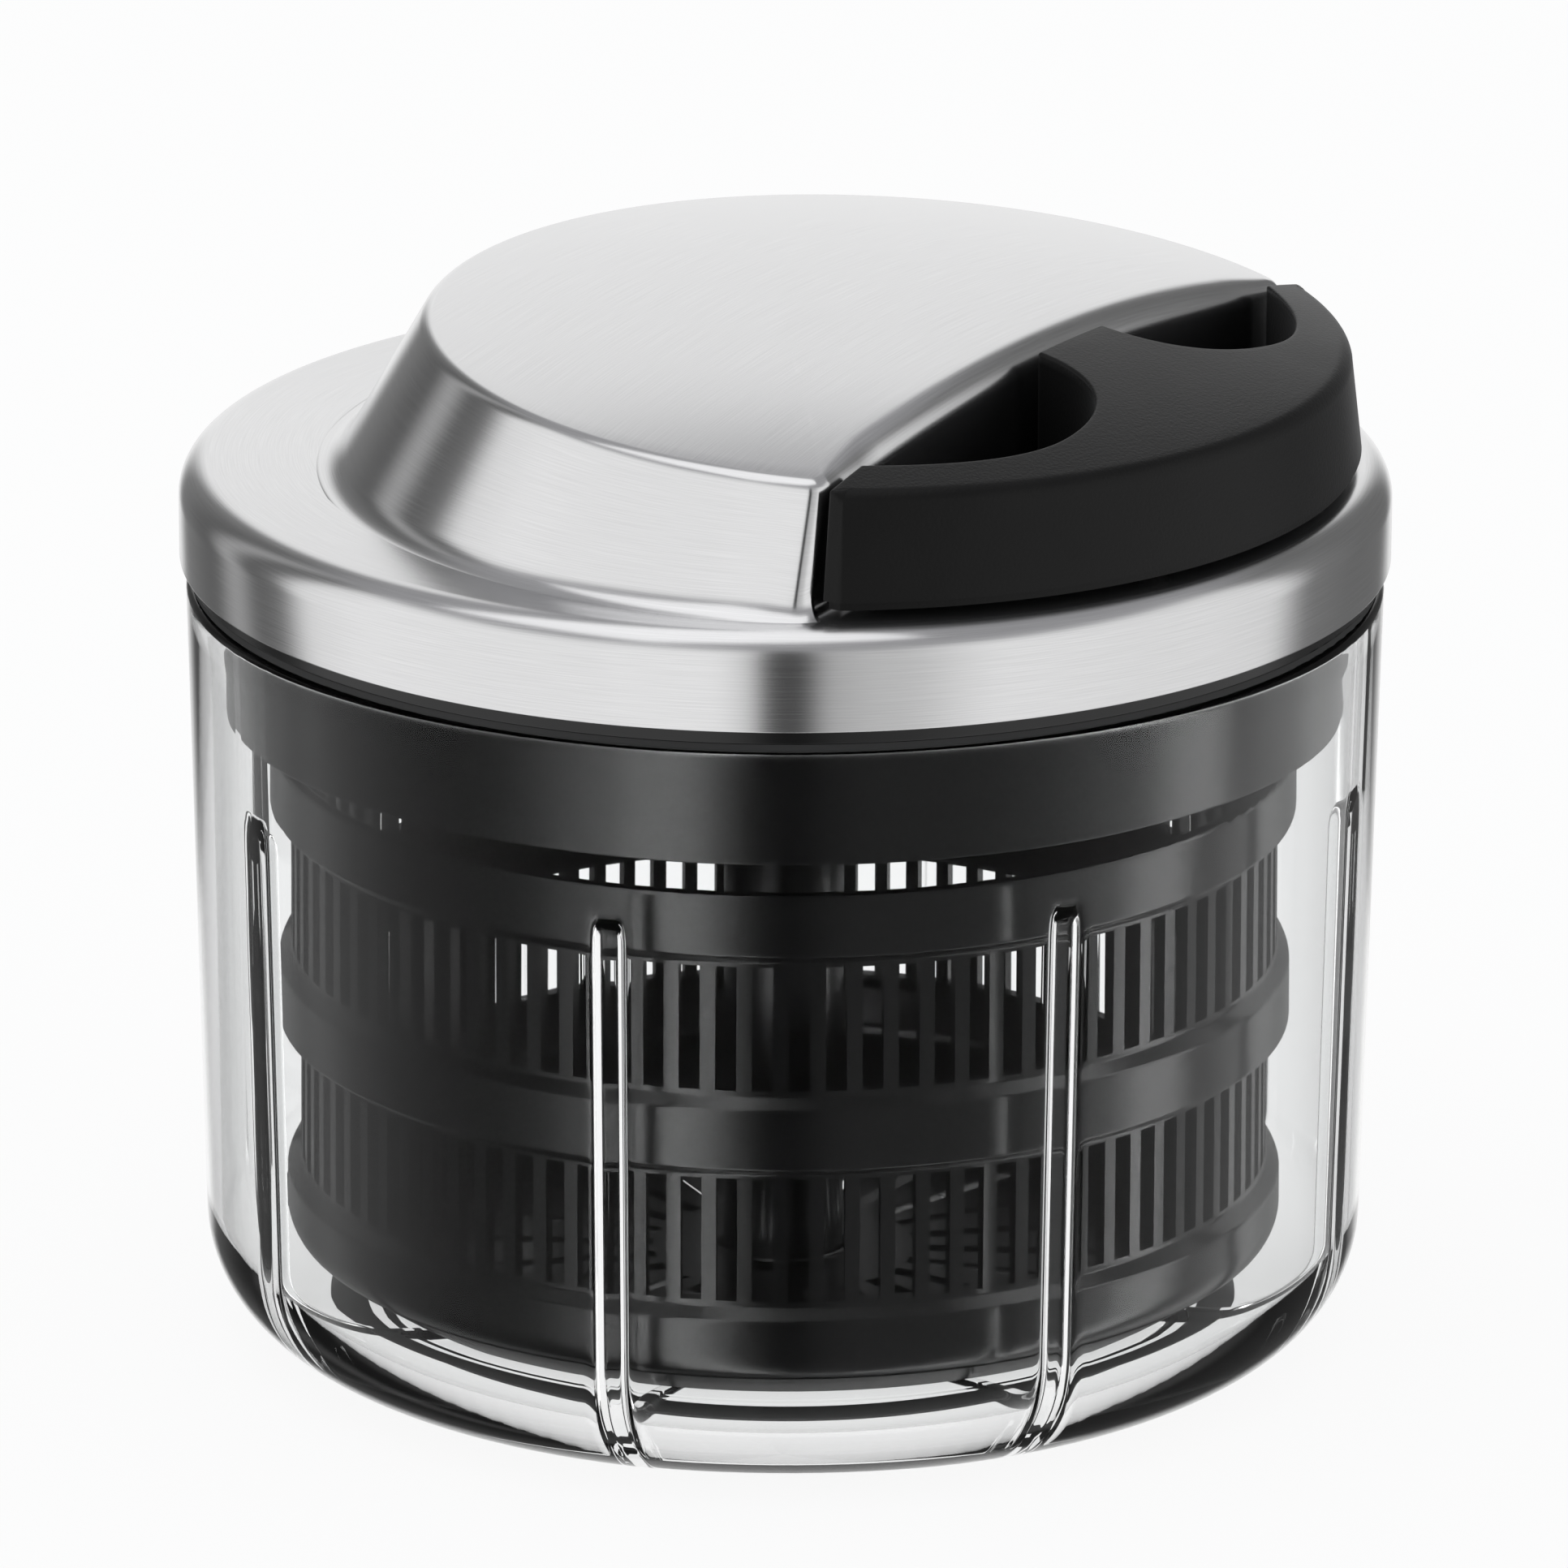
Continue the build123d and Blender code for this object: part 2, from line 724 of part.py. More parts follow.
def make_ratchet_wheel():
    """Saw-toothed wheel on the shaft: each tooth has a radial face and a long ramp."""
    root = wheel_radius - tooth_depth
    points = []
    for i in range(wheel_teeth):
        angle = math.radians(i * 360 / wheel_teeth)
        points.append((root * math.cos(angle), root * math.sin(angle), 0))
        points.append((wheel_radius * math.cos(angle), wheel_radius * math.sin(angle), 0))
    wheel = upright(rounded_outline(points), wheel_z, wheel_top)
    return wheel - tube(shaft_radius, 0, wheel_z - 1, wheel_top + 1)


def pawl_z():
    return wheel_z + pawl_lift


def make_pawl(turn):
    """Pawl whose tip stands behind a tooth's radial face."""
    root = wheel_radius - tooth_depth
    x, y = pawl_pin_place()
    half = pawl_width / 2
    sweep = -y - pawl_tip_gap

    def tip(across):
        """Height of the tip's face, whose ends keep clear of the tooth as the pawl swings."""
        return y + math.sqrt(sweep**2 - (x - across) ** 2)

    inner_tip = root + 0.4
    outer_tip = root + 3.6
    outline = rounded_outline([
        (inner_tip, tip(inner_tip), 0.2),
        (outer_tip, tip(outer_tip), 0.3),
        (root + 5.0, -4.0, 1.0),
        (x + half, y + 1.0, 1.0),
        (x + half, y - half, half - 0.2),
        (x - half, y - half, half - 0.2),
        (x - half, y + 1.0, 1.0),
        (wheel_radius - 1.2, -wheel_radius * 0.62, 1.0),
        (wheel_radius - 1.2, -3.6, 0.6),
    ])
    low = pawl_z()
    high = low + pawl_height
    body = upright(outline, low, high)
    body -= Pos(x, y, 0) * tube(pawl_pin_radius + running_gap, 0, low - 1, high + 1)
    return Rot(0, 0, turn) * body


def make_pawl_pins():
    x, y = pawl_pin_place()
    low = pawl_z() - pawl_tip_gap
    pin = tube(pawl_pin_radius, 0, low, reel_z + reel_flange)
    pin += tube(pawl_pin_radius + pin_head_width, 0, low - pin_head_height, low)
    pin = Pos(x, y, 0) * pin
    return Compound([pin, Rot(0, 0, 180) * pin])


def make_pawl_springs():
    """Wire ring of each pawl's return spring, around its pin above the pawl."""
    x, y = pawl_pin_place()
    height = (pawl_z() + pawl_height + reel_z) / 2
    radius = pawl_pin_radius + pawl_spring_wire + pawl_spring_gap
    ring = Pos(x, y, height) * Torus(radius, pawl_spring_wire)
    return Compound([ring, Rot(0, 0, 180) * ring])


def make_drive_shaft():
    bore = axle_radius + running_gap
    body = turned([
        (0, shaft_z, 0),
        (shaft_radius, shaft_z, 0.3),
        (shaft_radius, shaft_top, 0),
        (bore, shaft_top, 0),
        (bore, shaft_top - shaft_bore_depth, 0),
        (0, shaft_top - shaft_bore_depth, 0),
    ])
    return body - dog_pin_body()


def dog_pin_body():
    """Cross pin through the dog and the shaft."""
    length = dog_flats - 2 * dog_pin_inset
    return Pos(0, 0, shaft_z + dog_pin_height) * Rot(90, 0, 0) * Cylinder(dog_pin_radius, length)


def make_drive_dog():
    body = upright(hexagon(dog_flats), dog_z, dog_z + dog_height)
    body = chamfer(body.faces().sort_by(Axis.Z)[0].edges(), 1.0)
    body -= tube(shaft_radius, 0, shaft_z, dog_z + dog_height + 1)
    return body - dog_pin_body()


# ---------------------------------------------------------------- handle
def handle_plan(inset, back_y):
    """Plan outline: part of a large circle, cut off by the two ends and by a line behind."""
    circle = Pos(0, -handle_arc_forward) * Circle(handle_arc_radius - inset)
    width = 2 * (handle_half_width - inset)
    depth = 2 * handle_reach
    window = Pos(0, back_y) * Rectangle(width, depth, align=(Align.CENTER, Align.MAX))
    return circle & window


def recess_plan(side):
    """Outline of one finger recess, open towards the flat face."""
    corners = [
        (tongue_half_width, face_y + 1, 0),
        (tongue_half_width + tongue_flare, face_y - 0.85 * recess_depth, 10.0),
        (0.54 * recess_half_width, face_y - recess_depth, 14.0),
        (0.75 * recess_half_width, face_y - 0.82 * recess_depth, 12.0),
        (0.91 * recess_half_width, face_y - 0.42 * recess_depth, 16.0),
        (recess_half_width, face_y + 1, 0),
    ]
    return rounded_outline([(side * x, y, radius) for x, y, radius in corners])


def is_handle_outer_edge(edge):
    """True for the handle's upright end corners and its top outline, except along the flat face."""
    if edge.bounding_box().size.Z > 10:
        return edge.center().Y < face_y - 1
    return edge.center().Z > handle_z + 10 and edge.center().Y < face_y - 0.5


def make_handle_grip():
    low = handle_z + base_plate_height
    rise = crown_height - handle_lift
    plan = handle_plan(0, face_y + handle_back_spare)
    outer = Pos(0, 0, low) * extrude(plan, rise, taper=handle_draft)
    size = 4 * cover_radius
    ahead = Pos(0, face_y - size / 2, rim_z) * Box(size, size, size)
    body = outer & ahead & crown_ball(-handle_stand)
    body = fillet([edge for edge in body.edges() if is_handle_outer_edge(edge)], handle_edge_round)
    for side in (-1, 1):
        body -= upright(recess_plan(side), low + recess_floor, rim_z + crown_height)
        body -= handle_screw_place(side) * screw(handle_screw_length)
    pocket_radius = knot_radius + handle_clearance
    cord_line = Pos(0, face_y, cord_z) * Rot(90, 0, 0)
    body -= cord_line * Cylinder(cord_radius + handle_clearance, 2 * knot_set_back)
    body -= Pos(0, knot_y, 0) * tube(pocket_radius, 0, low - 1, cord_z + pocket_radius)
    return body


def handle_screw_place(side):
    return Pos(side * handle_screw_spread, -handle_screw_reach, handle_z)


def make_handle_base():
    plan = handle_plan(base_plate_inset, face_y - base_plate_inset)
    body = upright(plan, handle_z, handle_z + base_plate_height)
    for side in (-1, 1):
        body -= handle_screw_place(side) * screw(handle_screw_length)
    return body


def make_cord_knot():
    ball = Pos(0, knot_y, cord_z) * Sphere(knot_radius)
    return ball - make_cord_outer()


# ---------------------------------------------------------------- all nodes
def screws(places, length):
    return Compound([Pos(x, y, z) * screw(length) for x, y, z in places])


def make_lid_body_drilled():
    body = make_lid_body()
    for x, y in post_places():
        body -= Pos(x, y, plate_z) * screw(frame_screw_length)
    return body


def write(name, shape):
    shape.label = name
    export_step(shape, f"parts/{name}.step")


def main():
    frame_screw_places = [(x, y, plate_z) for x, y in post_places()]
    reach = handle_screw_reach
    handle_screw_places = [(side * handle_screw_spread, -reach, handle_z) for side in (-1, 1)]
    nodes = {
        "bowl": make_bowl,
        "non_slip_ring": make_grip_ring,
        "pivot_pin": make_pivot_pin,
        "pivot_bush": make_pivot_bush,
        "basket": make_basket,
        "drive_socket": make_drive_socket,
        "lid_body": make_lid_body_drilled,
        "seal_ring": make_seal_ring,
        "drive_bush": make_drive_bush,
        "lid_cover": make_lid_cover,
        "mechanism_frame": make_frame,
        "spring_cover": make_spring_cover,
        "rewind_spring": make_rewind_spring,
        "reel_axle": make_reel_axle,
        "frame_screws": lambda: screws(frame_screw_places, frame_screw_length),
        "cord_guide": make_cord_guide,
        "cord_inner": make_cord_inner,
        "reel": make_reel,
        "cord_coil": make_cord_coil,
        "pawl_pins": make_pawl_pins,
        "pawl_springs": make_pawl_springs,
        "pawl_left": lambda: make_pawl(0),
        "pawl_right": lambda: make_pawl(180),
        "ratchet_wheel": make_ratchet_wheel,
        "drive_shaft": make_drive_shaft,
        "drive_dog": make_drive_dog,
        "dog_pin": dog_pin_body,
        "handle_grip": make_handle_grip,
        "handle_base": make_handle_base,
        "handle_screws": lambda: screws(handle_screw_places, handle_screw_length),
        "cord_outer": make_cord_outer,
        "cord_knot": make_cord_knot,
    }
    for name, maker in nodes.items():
        write(name, maker())


if __name__ == "__main__":
    main()
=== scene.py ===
"""Looks of the pull-cord salad spinner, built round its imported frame.

Lengths are worked out in millimetres and go into the meshes in metres. Z is up along the
spinning axis and the handle is pulled towards -Y.
"""

import json
import math

import bmesh
import bpy
import numpy as np
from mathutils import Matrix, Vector


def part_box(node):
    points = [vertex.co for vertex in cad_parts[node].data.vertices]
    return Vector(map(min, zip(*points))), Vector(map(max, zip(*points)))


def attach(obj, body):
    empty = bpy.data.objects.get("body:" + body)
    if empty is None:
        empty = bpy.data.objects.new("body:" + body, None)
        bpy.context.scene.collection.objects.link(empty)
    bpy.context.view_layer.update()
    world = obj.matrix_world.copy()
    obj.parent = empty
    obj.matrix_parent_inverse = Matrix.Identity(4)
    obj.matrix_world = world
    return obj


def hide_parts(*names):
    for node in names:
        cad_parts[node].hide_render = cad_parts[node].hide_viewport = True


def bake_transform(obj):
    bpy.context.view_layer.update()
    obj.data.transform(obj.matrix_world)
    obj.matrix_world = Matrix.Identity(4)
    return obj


MM = 0.001

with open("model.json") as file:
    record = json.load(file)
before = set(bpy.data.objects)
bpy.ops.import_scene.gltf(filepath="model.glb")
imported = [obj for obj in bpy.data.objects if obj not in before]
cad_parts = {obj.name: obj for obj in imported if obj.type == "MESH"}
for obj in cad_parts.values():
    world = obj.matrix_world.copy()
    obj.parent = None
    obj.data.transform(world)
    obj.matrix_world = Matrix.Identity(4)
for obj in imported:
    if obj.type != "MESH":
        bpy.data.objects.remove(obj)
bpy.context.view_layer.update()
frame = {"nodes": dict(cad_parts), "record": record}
nodes = frame["nodes"]


def reach(node, axis, end):
    """Lowest (end 0) or highest (end 1) coordinate of a node along an axis, in millimetres."""
    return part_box(node)[end][axis] / MM


# ---------------------------------------------------------------- sizes taken from the frame
rim_radius = reach("lid_cover", 0, 1)
rim_z = reach("lid_cover", 2, 0)
crown_top = reach("lid_cover", 2, 1)
bowl_top = reach("bowl", 2, 1)
bowl_radius = reach("bowl", 0, 1)
foot_z = reach("bowl", 2, 0)
grip_low = reach("handle_grip", 2, 0)
grip_reach = -reach("handle_grip", 1, 0)
grip_half = reach("handle_grip", 0, 1)
face_y = reach("handle_grip", 1, 1)
cord_z = (reach("cord_outer", 2, 0) + reach("cord_outer", 2, 1)) / 2
knot_y = (reach("cord_knot", 1, 0) + reach("cord_knot", 1, 1)) / 2
guide_y = reach("cord_guide", 1, 0)

# ---------------------------------------------------------------- forms of this spinner
# Steel cover; heights count from the rim's lower edge.
CROWN_RADIUS = 335.0       # sphere that the crown is a part of
SHEET = 0.8
RIM_ROUND = 6.0
STEP_LOW = 16.0            # the step climbs from its outer to its inner radius
STEP_HIGH = 17.5
STEP_OUTER = 94.0
STEP_INNER = 74.0
STEP_START = 48.0          # inner edge of the rim's sheet, hidden under the dome
CHORD_POINTS = 24          # points on half the flat face, on a corner beside it and on the arc
BEND_POINTS = 9
ARC_POINTS = 240
ARC_RADIUS = 86.0          # arc of the dome's section at ARC_LOW, and its change over ARC_CLIMB
ARC_RADIUS_LOSS = 10.5
ARC_CENTRE = 13.0
ARC_CENTRE_SHIFT = 7.5
ARC_LOW = 15.0
ARC_CLIMB = 30.0
CORNER_ROUND_LOW = 3.9     # corners beside the flat face, at the foot and at the crown
CORNER_ROUND_HIGH = 4.2
CREASE_ROUND = 3.0         # edge of the crown, wider along the flat face
FRONT_CREASE_ROUND = 5.5
FLAT_HALF = 68.0           # half width of the flat face at the crown
FOOT_HOLLOW = 5.5          # hollow between wall and step, which ends inside FOOT_LIMIT
FOOT_HOLLOW_FLAT = 2.0
FOOT_LIMIT = 97.0
GUIDE_LIP = 1.5            # the cord's guide stands this far out of the flat face
cut_y = guide_y + GUIDE_LIP

# Handle.
HANDLE_ARC = 90.5          # outer wall's radius in plan
HANDLE_DRAFT = math.tan(math.radians(6.0))
HANDLE_STAND = 0.3         # top above the crown's sphere
HANDLE_ROUND = 2.3         # top edge along the outer wall
HANDLE_CORNER = 2.0        # upright corners
BACK_ROUND = 0.6           # edges along the back face and the recesses
RECESS_FLOOR = 2.0
FLOOR_TUCK = 1.6           # the recess floors reach this far into the walls
RECESS_MIDDLE = 32.0
RECESS_DEPTH = 19.7
RECESS_MOUTH = 62.2        # far end of a recess's mouth
RECESS_REACH = 83.0        # the recess walls lie nearer than this to the handle arc's centre
TONGUE_HALF = 9.8

# Clear bowl and cord.
BOWL_WALL = 3.0
BOWL_CORNER = 19.0
BOWL_DRAFT = math.tan(math.radians(1.2))
FOOT_STEP = 2.5            # height of the bowl's floor above the rim of its foot
FOOT_WIDTH = 10.5          # from the bottom corner's start to the foot's inner side
RIBS = 8
FIRST_RIB = math.radians(-90 + 16)
RIB_HALF = 4.6
RIB_CIRCLE = 95.0          # radius at which the ribs have that half width
RIB_FLANK = 2.1            # from a rib's middle to the steepest place of its side
RIB_STEEPNESS = 7.0
RIB_RISE = 2.8
RIB_CAP = 4.5              # length of a rib's round upper end
RIB_DROP = 5.4             # the ribs end this far under the basket's rim
PIVOT_BOSS = 9.0
CORD_RADIUS = 1.1

# Camera (metres), ground and studio.
CAMERA_PLACE = (-1.6036, -1.0412, 0.7212)
CAMERA_AIM = (-0.0103, -0.0066, 0.0958)
CAMERA_ROLL = math.radians(0.197)
LENS = 277.9
FLOOR_HALF = 6000.0
FLOOR_GLOW = 0.92          # share of plain white in the ground, seen directly and through the bowl
FLOOR_GLOW_INSIDE = 0.85
BRIGHTEST = 4.0            # tone of a ramp's white in the studio
CEILING = (0.34, 0.34, 0.35)


# ---------------------------------------------------------------- camera, stage and light
def facing(place, aim):
    """Turn of a camera or lamp at a place that looks at its aim, upright."""
    return (Vector(aim) - Vector(place)).to_track_quat("-Z", "Y").to_euler()


def make_camera():
    """Long lens from the front left of the handle, a little above, with a slight roll."""
    data = bpy.data.cameras.new("camera")
    data.sensor_width = 36.0
    data.sensor_fit = "HORIZONTAL"
    data.lens = LENS
    data.clip_start = 0.05
    data.clip_end = 50
    camera = bpy.data.objects.new("camera", data)
    bpy.context.scene.collection.objects.link(camera)
    camera.location = CAMERA_PLACE
    camera.rotation_euler = facing(CAMERA_PLACE, CAMERA_AIM)
    camera.rotation_euler.rotate_axis("Z", CAMERA_ROLL)
    bpy.context.scene.camera = camera


def node_tree(material):
    """Empty node tree of a material."""
    material.use_nodes = True
    tree = material.node_tree
    tree.nodes.clear()
    return tree


def combine(tree, operation, *values, held=True):
    """Maths node, held between 0 and 1 or left free; the values are sockets or numbers."""
    node = tree.nodes.new("ShaderNodeMath")
    node.operation = operation
    node.use_clamp = held
    for socket, value in zip(node.inputs, values):
        if isinstance(value, (int, float)):
            socket.default_value = value
        else:
            tree.links.new(value, socket)
    return node.outputs[0]


def moved(tree, value, source, target=(0.0, 1.0)):
    """Value carried from the source pair of numbers over to the target pair and held there."""
    node = tree.nodes.new("ShaderNodeMapRange")
    for name, number in zip(("From Min", "From Max", "To Min", "To Max"), source + target):
        node.inputs[name].default_value = number
    tree.links.new(value, node.inputs["Value"])
    return node.outputs[0]


def mixed(tree, share, first, second):
    """Mix of two shaders by a share socket, 0 for the first and 1 for the second."""
    node = tree.nodes.new("ShaderNodeMixShader")
    tree.links.new(share, node.inputs["Fac"])
    tree.links.new(first, node.inputs[1])
    tree.links.new(second, node.inputs[2])
    return node.outputs[0]


def mirrored_through(tree, path):
    """1 for light that was mirrored somewhere and then left through the clear bowl."""
    return combine(tree, "MULTIPLY", path.outputs["Is Transmission Ray"], path.outputs["Glossy Depth"])


def mirrored_inside(tree, path):
    """1 for what a piece inside the clear bowl mirrors, with both faces of the wall crossed twice."""
    crossed = combine(tree, "GREATER_THAN", path.outputs["Transmission Depth"], 3)
    return combine(tree, "MULTIPLY", mirrored_through(tree, path), crossed)


def make_stage():
    """White ground that shows a faint shadow and doesn't stand in the way of mirrored light."""
    floor_mesh = bpy.data.meshes.new("floor")
    half = FLOOR_HALF * MM
    corners = [(-half, -half, 0), (half, -half, 0), (half, half, 0), (-half, half, 0)]
    floor_mesh.from_pydata(corners, [], [(0, 1, 2, 3)])
    floor = bpy.data.objects.new("floor", floor_mesh)
    bpy.context.scene.collection.objects.link(floor)
    material = bpy.data.materials.new("white_ground")
    tree = node_tree(material)
    out = tree.nodes.new("ShaderNodeOutputMaterial")
    path = tree.nodes.new("ShaderNodeLightPath")
    diffuse = tree.nodes.new("ShaderNodeBsdfDiffuse")
    diffuse.inputs["Color"].default_value = (0.86, 0.86, 0.86, 1)
    glow = tree.nodes.new("ShaderNodeEmission")
    clear = tree.nodes.new("ShaderNodeBsdfTransparent")
    direct = combine(tree, "MULTIPLY", path.outputs["Is Camera Ray"], FLOOR_GLOW)
    through = combine(tree, "MULTIPLY", path.outputs["Is Transmission Ray"], FLOOR_GLOW_INSIDE)
    share = combine(tree, "ADD", direct, through)
    ground = mixed(tree, share, diffuse.outputs[0], glow.outputs[0])
    ground = mixed(tree, mirrored_inside(tree, path), ground, clear.outputs[0])
    tree.links.new(ground, out.inputs["Surface"])
    floor_mesh.materials.append(material)
    floor.visible_glossy = False


def ramp(tree, stops):
    """Colour ramp of grey tones from (position, tone) stops."""
    node = tree.nodes.new("ShaderNodeValToRGB")
    node.color_ramp.interpolation = "EASE"
    line = node.color_ramp.elements
    while len(line) < len(stops):
        line.new(0.5)
    for element, (position, tone) in zip(line, stops):
        element.position = position
        element.color = (tone, tone, tone, 1)
    return node


def around(tree, share, tones):
    """Colour that follows the compass; tones are (degrees, tone), tone up to BRIGHTEST."""
    stops = sorted((((degrees + 180) % 360) / 360, tone / BRIGHTEST) for degrees, tone in tones)
    node = ramp(tree, stops)
    tree.links.new(share, node.inputs["Fac"])
    return node.outputs[0]


def make_world():
    """Studio: white for the eye and through clear plastic, even light, soft bands for gloss.

    The bands stand at fixed compass directions. What the steel and the handle mirror has a narrow
    dark stretch in front, where the room is open, and a dark stretch on each side, with white
    walls between and a dimmer ceiling. The glossy black inside the bowl mirrors a darker room
    with a soft lamp to each side of the front.
    """
    world = bpy.data.worlds.new("studio")
    bpy.context.scene.world = world
    world.use_nodes = True
    tree = world.node_tree
    tree.nodes.clear()
    link = tree.links.new
    out = tree.nodes.new("ShaderNodeOutputWorld")
    place = tree.nodes.new("ShaderNodeTexCoord")
    parts = tree.nodes.new("ShaderNodeSeparateXYZ")
    link(place.outputs["Generated"], parts.inputs[0])
    compass = combine(tree, "ARCTAN2", parts.outputs["Y"], parts.outputs["X"], held=False)
    share = moved(tree, compass, (-math.pi, math.pi))
    walls = around(tree, share, [
        (8, 0.16), (22, 0.95), (44, 0.95), (56, 0.20), (76, 0.12), (86, 0.42), (95, 0.12),
        (102, 0.16), (113, 0.92), (128, 1.0), (150, 0.98), (200, 1.0), (206, 0.82), (210, 0.05),
        (216, 0.05), (222, 0.52), (232, 0.62), (256, 0.95), (296, 0.9), (316, 0.86), (330, 0.2),
        (350, 0.16),
    ])
    inside = around(tree, share, [
        (5, 0.3), (66, 0.2), (85, 0.2), (99, 0.08), (110, 0.0), (122, 0.0), (145, 0.05),
        (156, 0.25), (166, 0.9), (175, 1.7), (185, 3.1), (193, 3.4), (199, 1.4), (205, 0.12),
        (210, 0.0), (216, 0.0), (222, 0.14), (229, 0.26), (252, 0.26), (266, 0.4), (278, 0.7),
        (290, 1.1), (300, 2.9), (309, 2.8), (317, 0.3), (330, 0.5), (345, 0.8),
    ])
    ceiling = ramp(tree, [(0.0, 0.0), (0.58, 0.0), (0.78, 1.0), (1.0, 1.0)])
    link(parts.outputs["Z"], ceiling.inputs["Fac"])
    dim = tree.nodes.new("ShaderNodeMix")
    dim.data_type = "RGBA"
    link(ceiling.outputs[0], dim.inputs["Factor"])
    link(walls, dim.inputs["A"])
    dim.inputs["B"].default_value = tuple(tone / BRIGHTEST for tone in CEILING) + (1,)

    def background(colour, strength):
        node = tree.nodes.new("ShaderNodeBackground")
        node.inputs["Strength"].default_value = strength
        if isinstance(colour, tuple):
            node.inputs["Color"].default_value = colour
        else:
            link(colour, node.inputs["Color"])
        return node.outputs[0]

    path = tree.nodes.new("ShaderNodeLightPath")
    seen = combine(tree, "MAXIMUM", path.outputs["Is Camera Ray"], path.outputs["Is Transmission Ray"])
    scattered = combine(tree, "ADD", path.outputs["Glossy Depth"], path.outputs["Diffuse Depth"])
    seen = combine(tree, "SUBTRACT", seen, scattered)
    light = background((0.95, 0.97, 1.0, 1), 0.8)
    glossy = combine(tree, "MAXIMUM", path.outputs["Is Glossy Ray"], mirrored_through(tree, path))
    sky = mixed(tree, glossy, light, background(dim.outputs["Result"], BRIGHTEST))
    sky = mixed(tree, mirrored_inside(tree, path), sky, background(inside, BRIGHTEST))
    sky = mixed(tree, seen, sky, background((1, 1, 1, 1), 1.0))
    link(sky, out.inputs["Surface"])


def area_light(name, place, aim, width, height, power):
    """Soft lamp; lengths in metres, power in watts."""
    data = bpy.data.lights.new(name, "AREA")
    data.shape = "RECTANGLE"
    data.size = width
    data.size_y = height
    data.energy = power
    light = bpy.data.objects.new(name, data)
    light.location = place
    light.rotation_euler = facing(place, aim)
    bpy.context.scene.collection.objects.link(light)


# ---------------------------------------------------------------- mesh helpers
def grid_faces(rows, columns, first, close_rows, close_columns):
    """Quads of a grid of points, numbered row by row from first."""
    i = np.arange(rows if close_rows else rows - 1)
    j = np.arange(columns if close_columns else columns - 1)
    i, j = np.meshgrid(i, j, indexing="ij")
    a = first + i * columns + j
    b = first + i * columns + (j + 1) % columns
    c = first + (i + 1) % rows * columns + (j + 1) % columns
    d = first + (i + 1) % rows * columns + j
    return np.stack([a, b, c, d], -1).reshape(-1, 4)


def make_piece(name, grids, body, weld=0.002, sharp=40.0, uv=None):
    """One object from grids of points (rows, columns, 3) in millimetres.

    Each grid comes as (points, close_rows, close_columns). Points nearer than weld are joined,
    so seams and poles close, and the faces are turned outwards.
    """
    points = []
    faces = []
    maps = []
    first = 0
    for k, (grid, close_rows, close_columns) in enumerate(grids):
        rows, columns = grid.shape[:2]
        faces.append(grid_faces(rows, columns, first, close_rows, close_columns))
        points.append(grid.reshape(-1, 3))
        if uv is not None:
            maps.append(uv[k].reshape(-1, 2))
        first += rows * columns
    points = np.concatenate(points) * MM
    faces = np.concatenate(faces)
    mesh = bpy.data.meshes.new(name)
    mesh.vertices.add(len(points))
    mesh.vertices.foreach_set("co", points.ravel())
    mesh.loops.add(faces.size)
    mesh.loops.foreach_set("vertex_index", faces.ravel().astype(np.int32))
    mesh.polygons.add(len(faces))
    mesh.polygons.foreach_set("loop_start", np.arange(0, faces.size, 4, dtype=np.int32))
    if uv is not None:
        layer = mesh.uv_layers.new(name="surface")
        layer.data.foreach_set("uv", np.concatenate(maps)[faces.ravel()].ravel())
    mesh.update(calc_edges=True)
    work = bmesh.new()
    work.from_mesh(mesh)
    bmesh.ops.remove_doubles(work, verts=work.verts, dist=weld * MM)
    bmesh.ops.dissolve_degenerate(work, dist=weld * MM * 0.5, edges=work.edges)
    bmesh.ops.recalc_face_normals(work, faces=work.faces)
    work.to_mesh(mesh)
    work.free()
    mesh.polygons.foreach_set("use_smooth", np.ones(len(mesh.polygons), bool))
    mesh.set_sharp_from_angle(angle=math.radians(sharp))
    piece = bpy.data.objects.new(name, mesh)
    bpy.context.scene.collection.objects.link(piece)
    if body:
        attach(piece, body)
    return piece


def rounded_path(corners, steps=10):
    """Line through (x, y, radius) corners, each corner swapped for an arc tangent to both runs."""
    spots = np.array([(x, y) for x, y, _ in corners], float)
    line = [spots[0]]
    for k in range(1, len(corners) - 1):
        radius = corners[k][2]
        back = spots[k - 1] - spots[k]
        ahead = spots[k + 1] - spots[k]
        back /= np.linalg.norm(back)
        ahead /= np.linalg.norm(ahead)
        half = math.acos(np.clip(back @ ahead, -1, 1)) / 2
        if radius <= 0:
            line.append(spots[k])
            continue
        middle = back + ahead
        middle /= np.linalg.norm(middle)
        centre = spots[k] + middle * radius / math.sin(half)
        start = spots[k] + back * radius / math.tan(half) - centre
        finish = spots[k] + ahead * radius / math.tan(half) - centre
        turn = math.atan2(start[0] * finish[1] - start[1] * finish[0], start @ finish)
        angles = np.linspace(0, turn, steps + 1)[:, None]
        side = np.array([-start[1], start[0]])
        line.extend(centre + np.cos(angles) * start + np.sin(angles) * side)
    line.append(spots[-1])
    return np.array(line)


def along(line):
    """Distance along a line of points."""
    return np.concatenate([[0.0], np.cumsum(np.linalg.norm(np.diff(line, axis=0), axis=1))])


def spread(line, count=None, stretch=None):
    """The same line with points evenly spaced, count of them or one per stretch."""
    distance = along(line)
    if count is None:
        count = max(2, int(distance[-1] / stretch) + 1)
    even = np.linspace(0, distance[-1], count)
    return np.stack([np.interp(even, distance, line[:, k]) for k in range(line.shape[1])], -1)


def full_turn(count):
    """Angles evenly spaced round a circle."""
    return np.arange(count) * 2 * np.pi / count


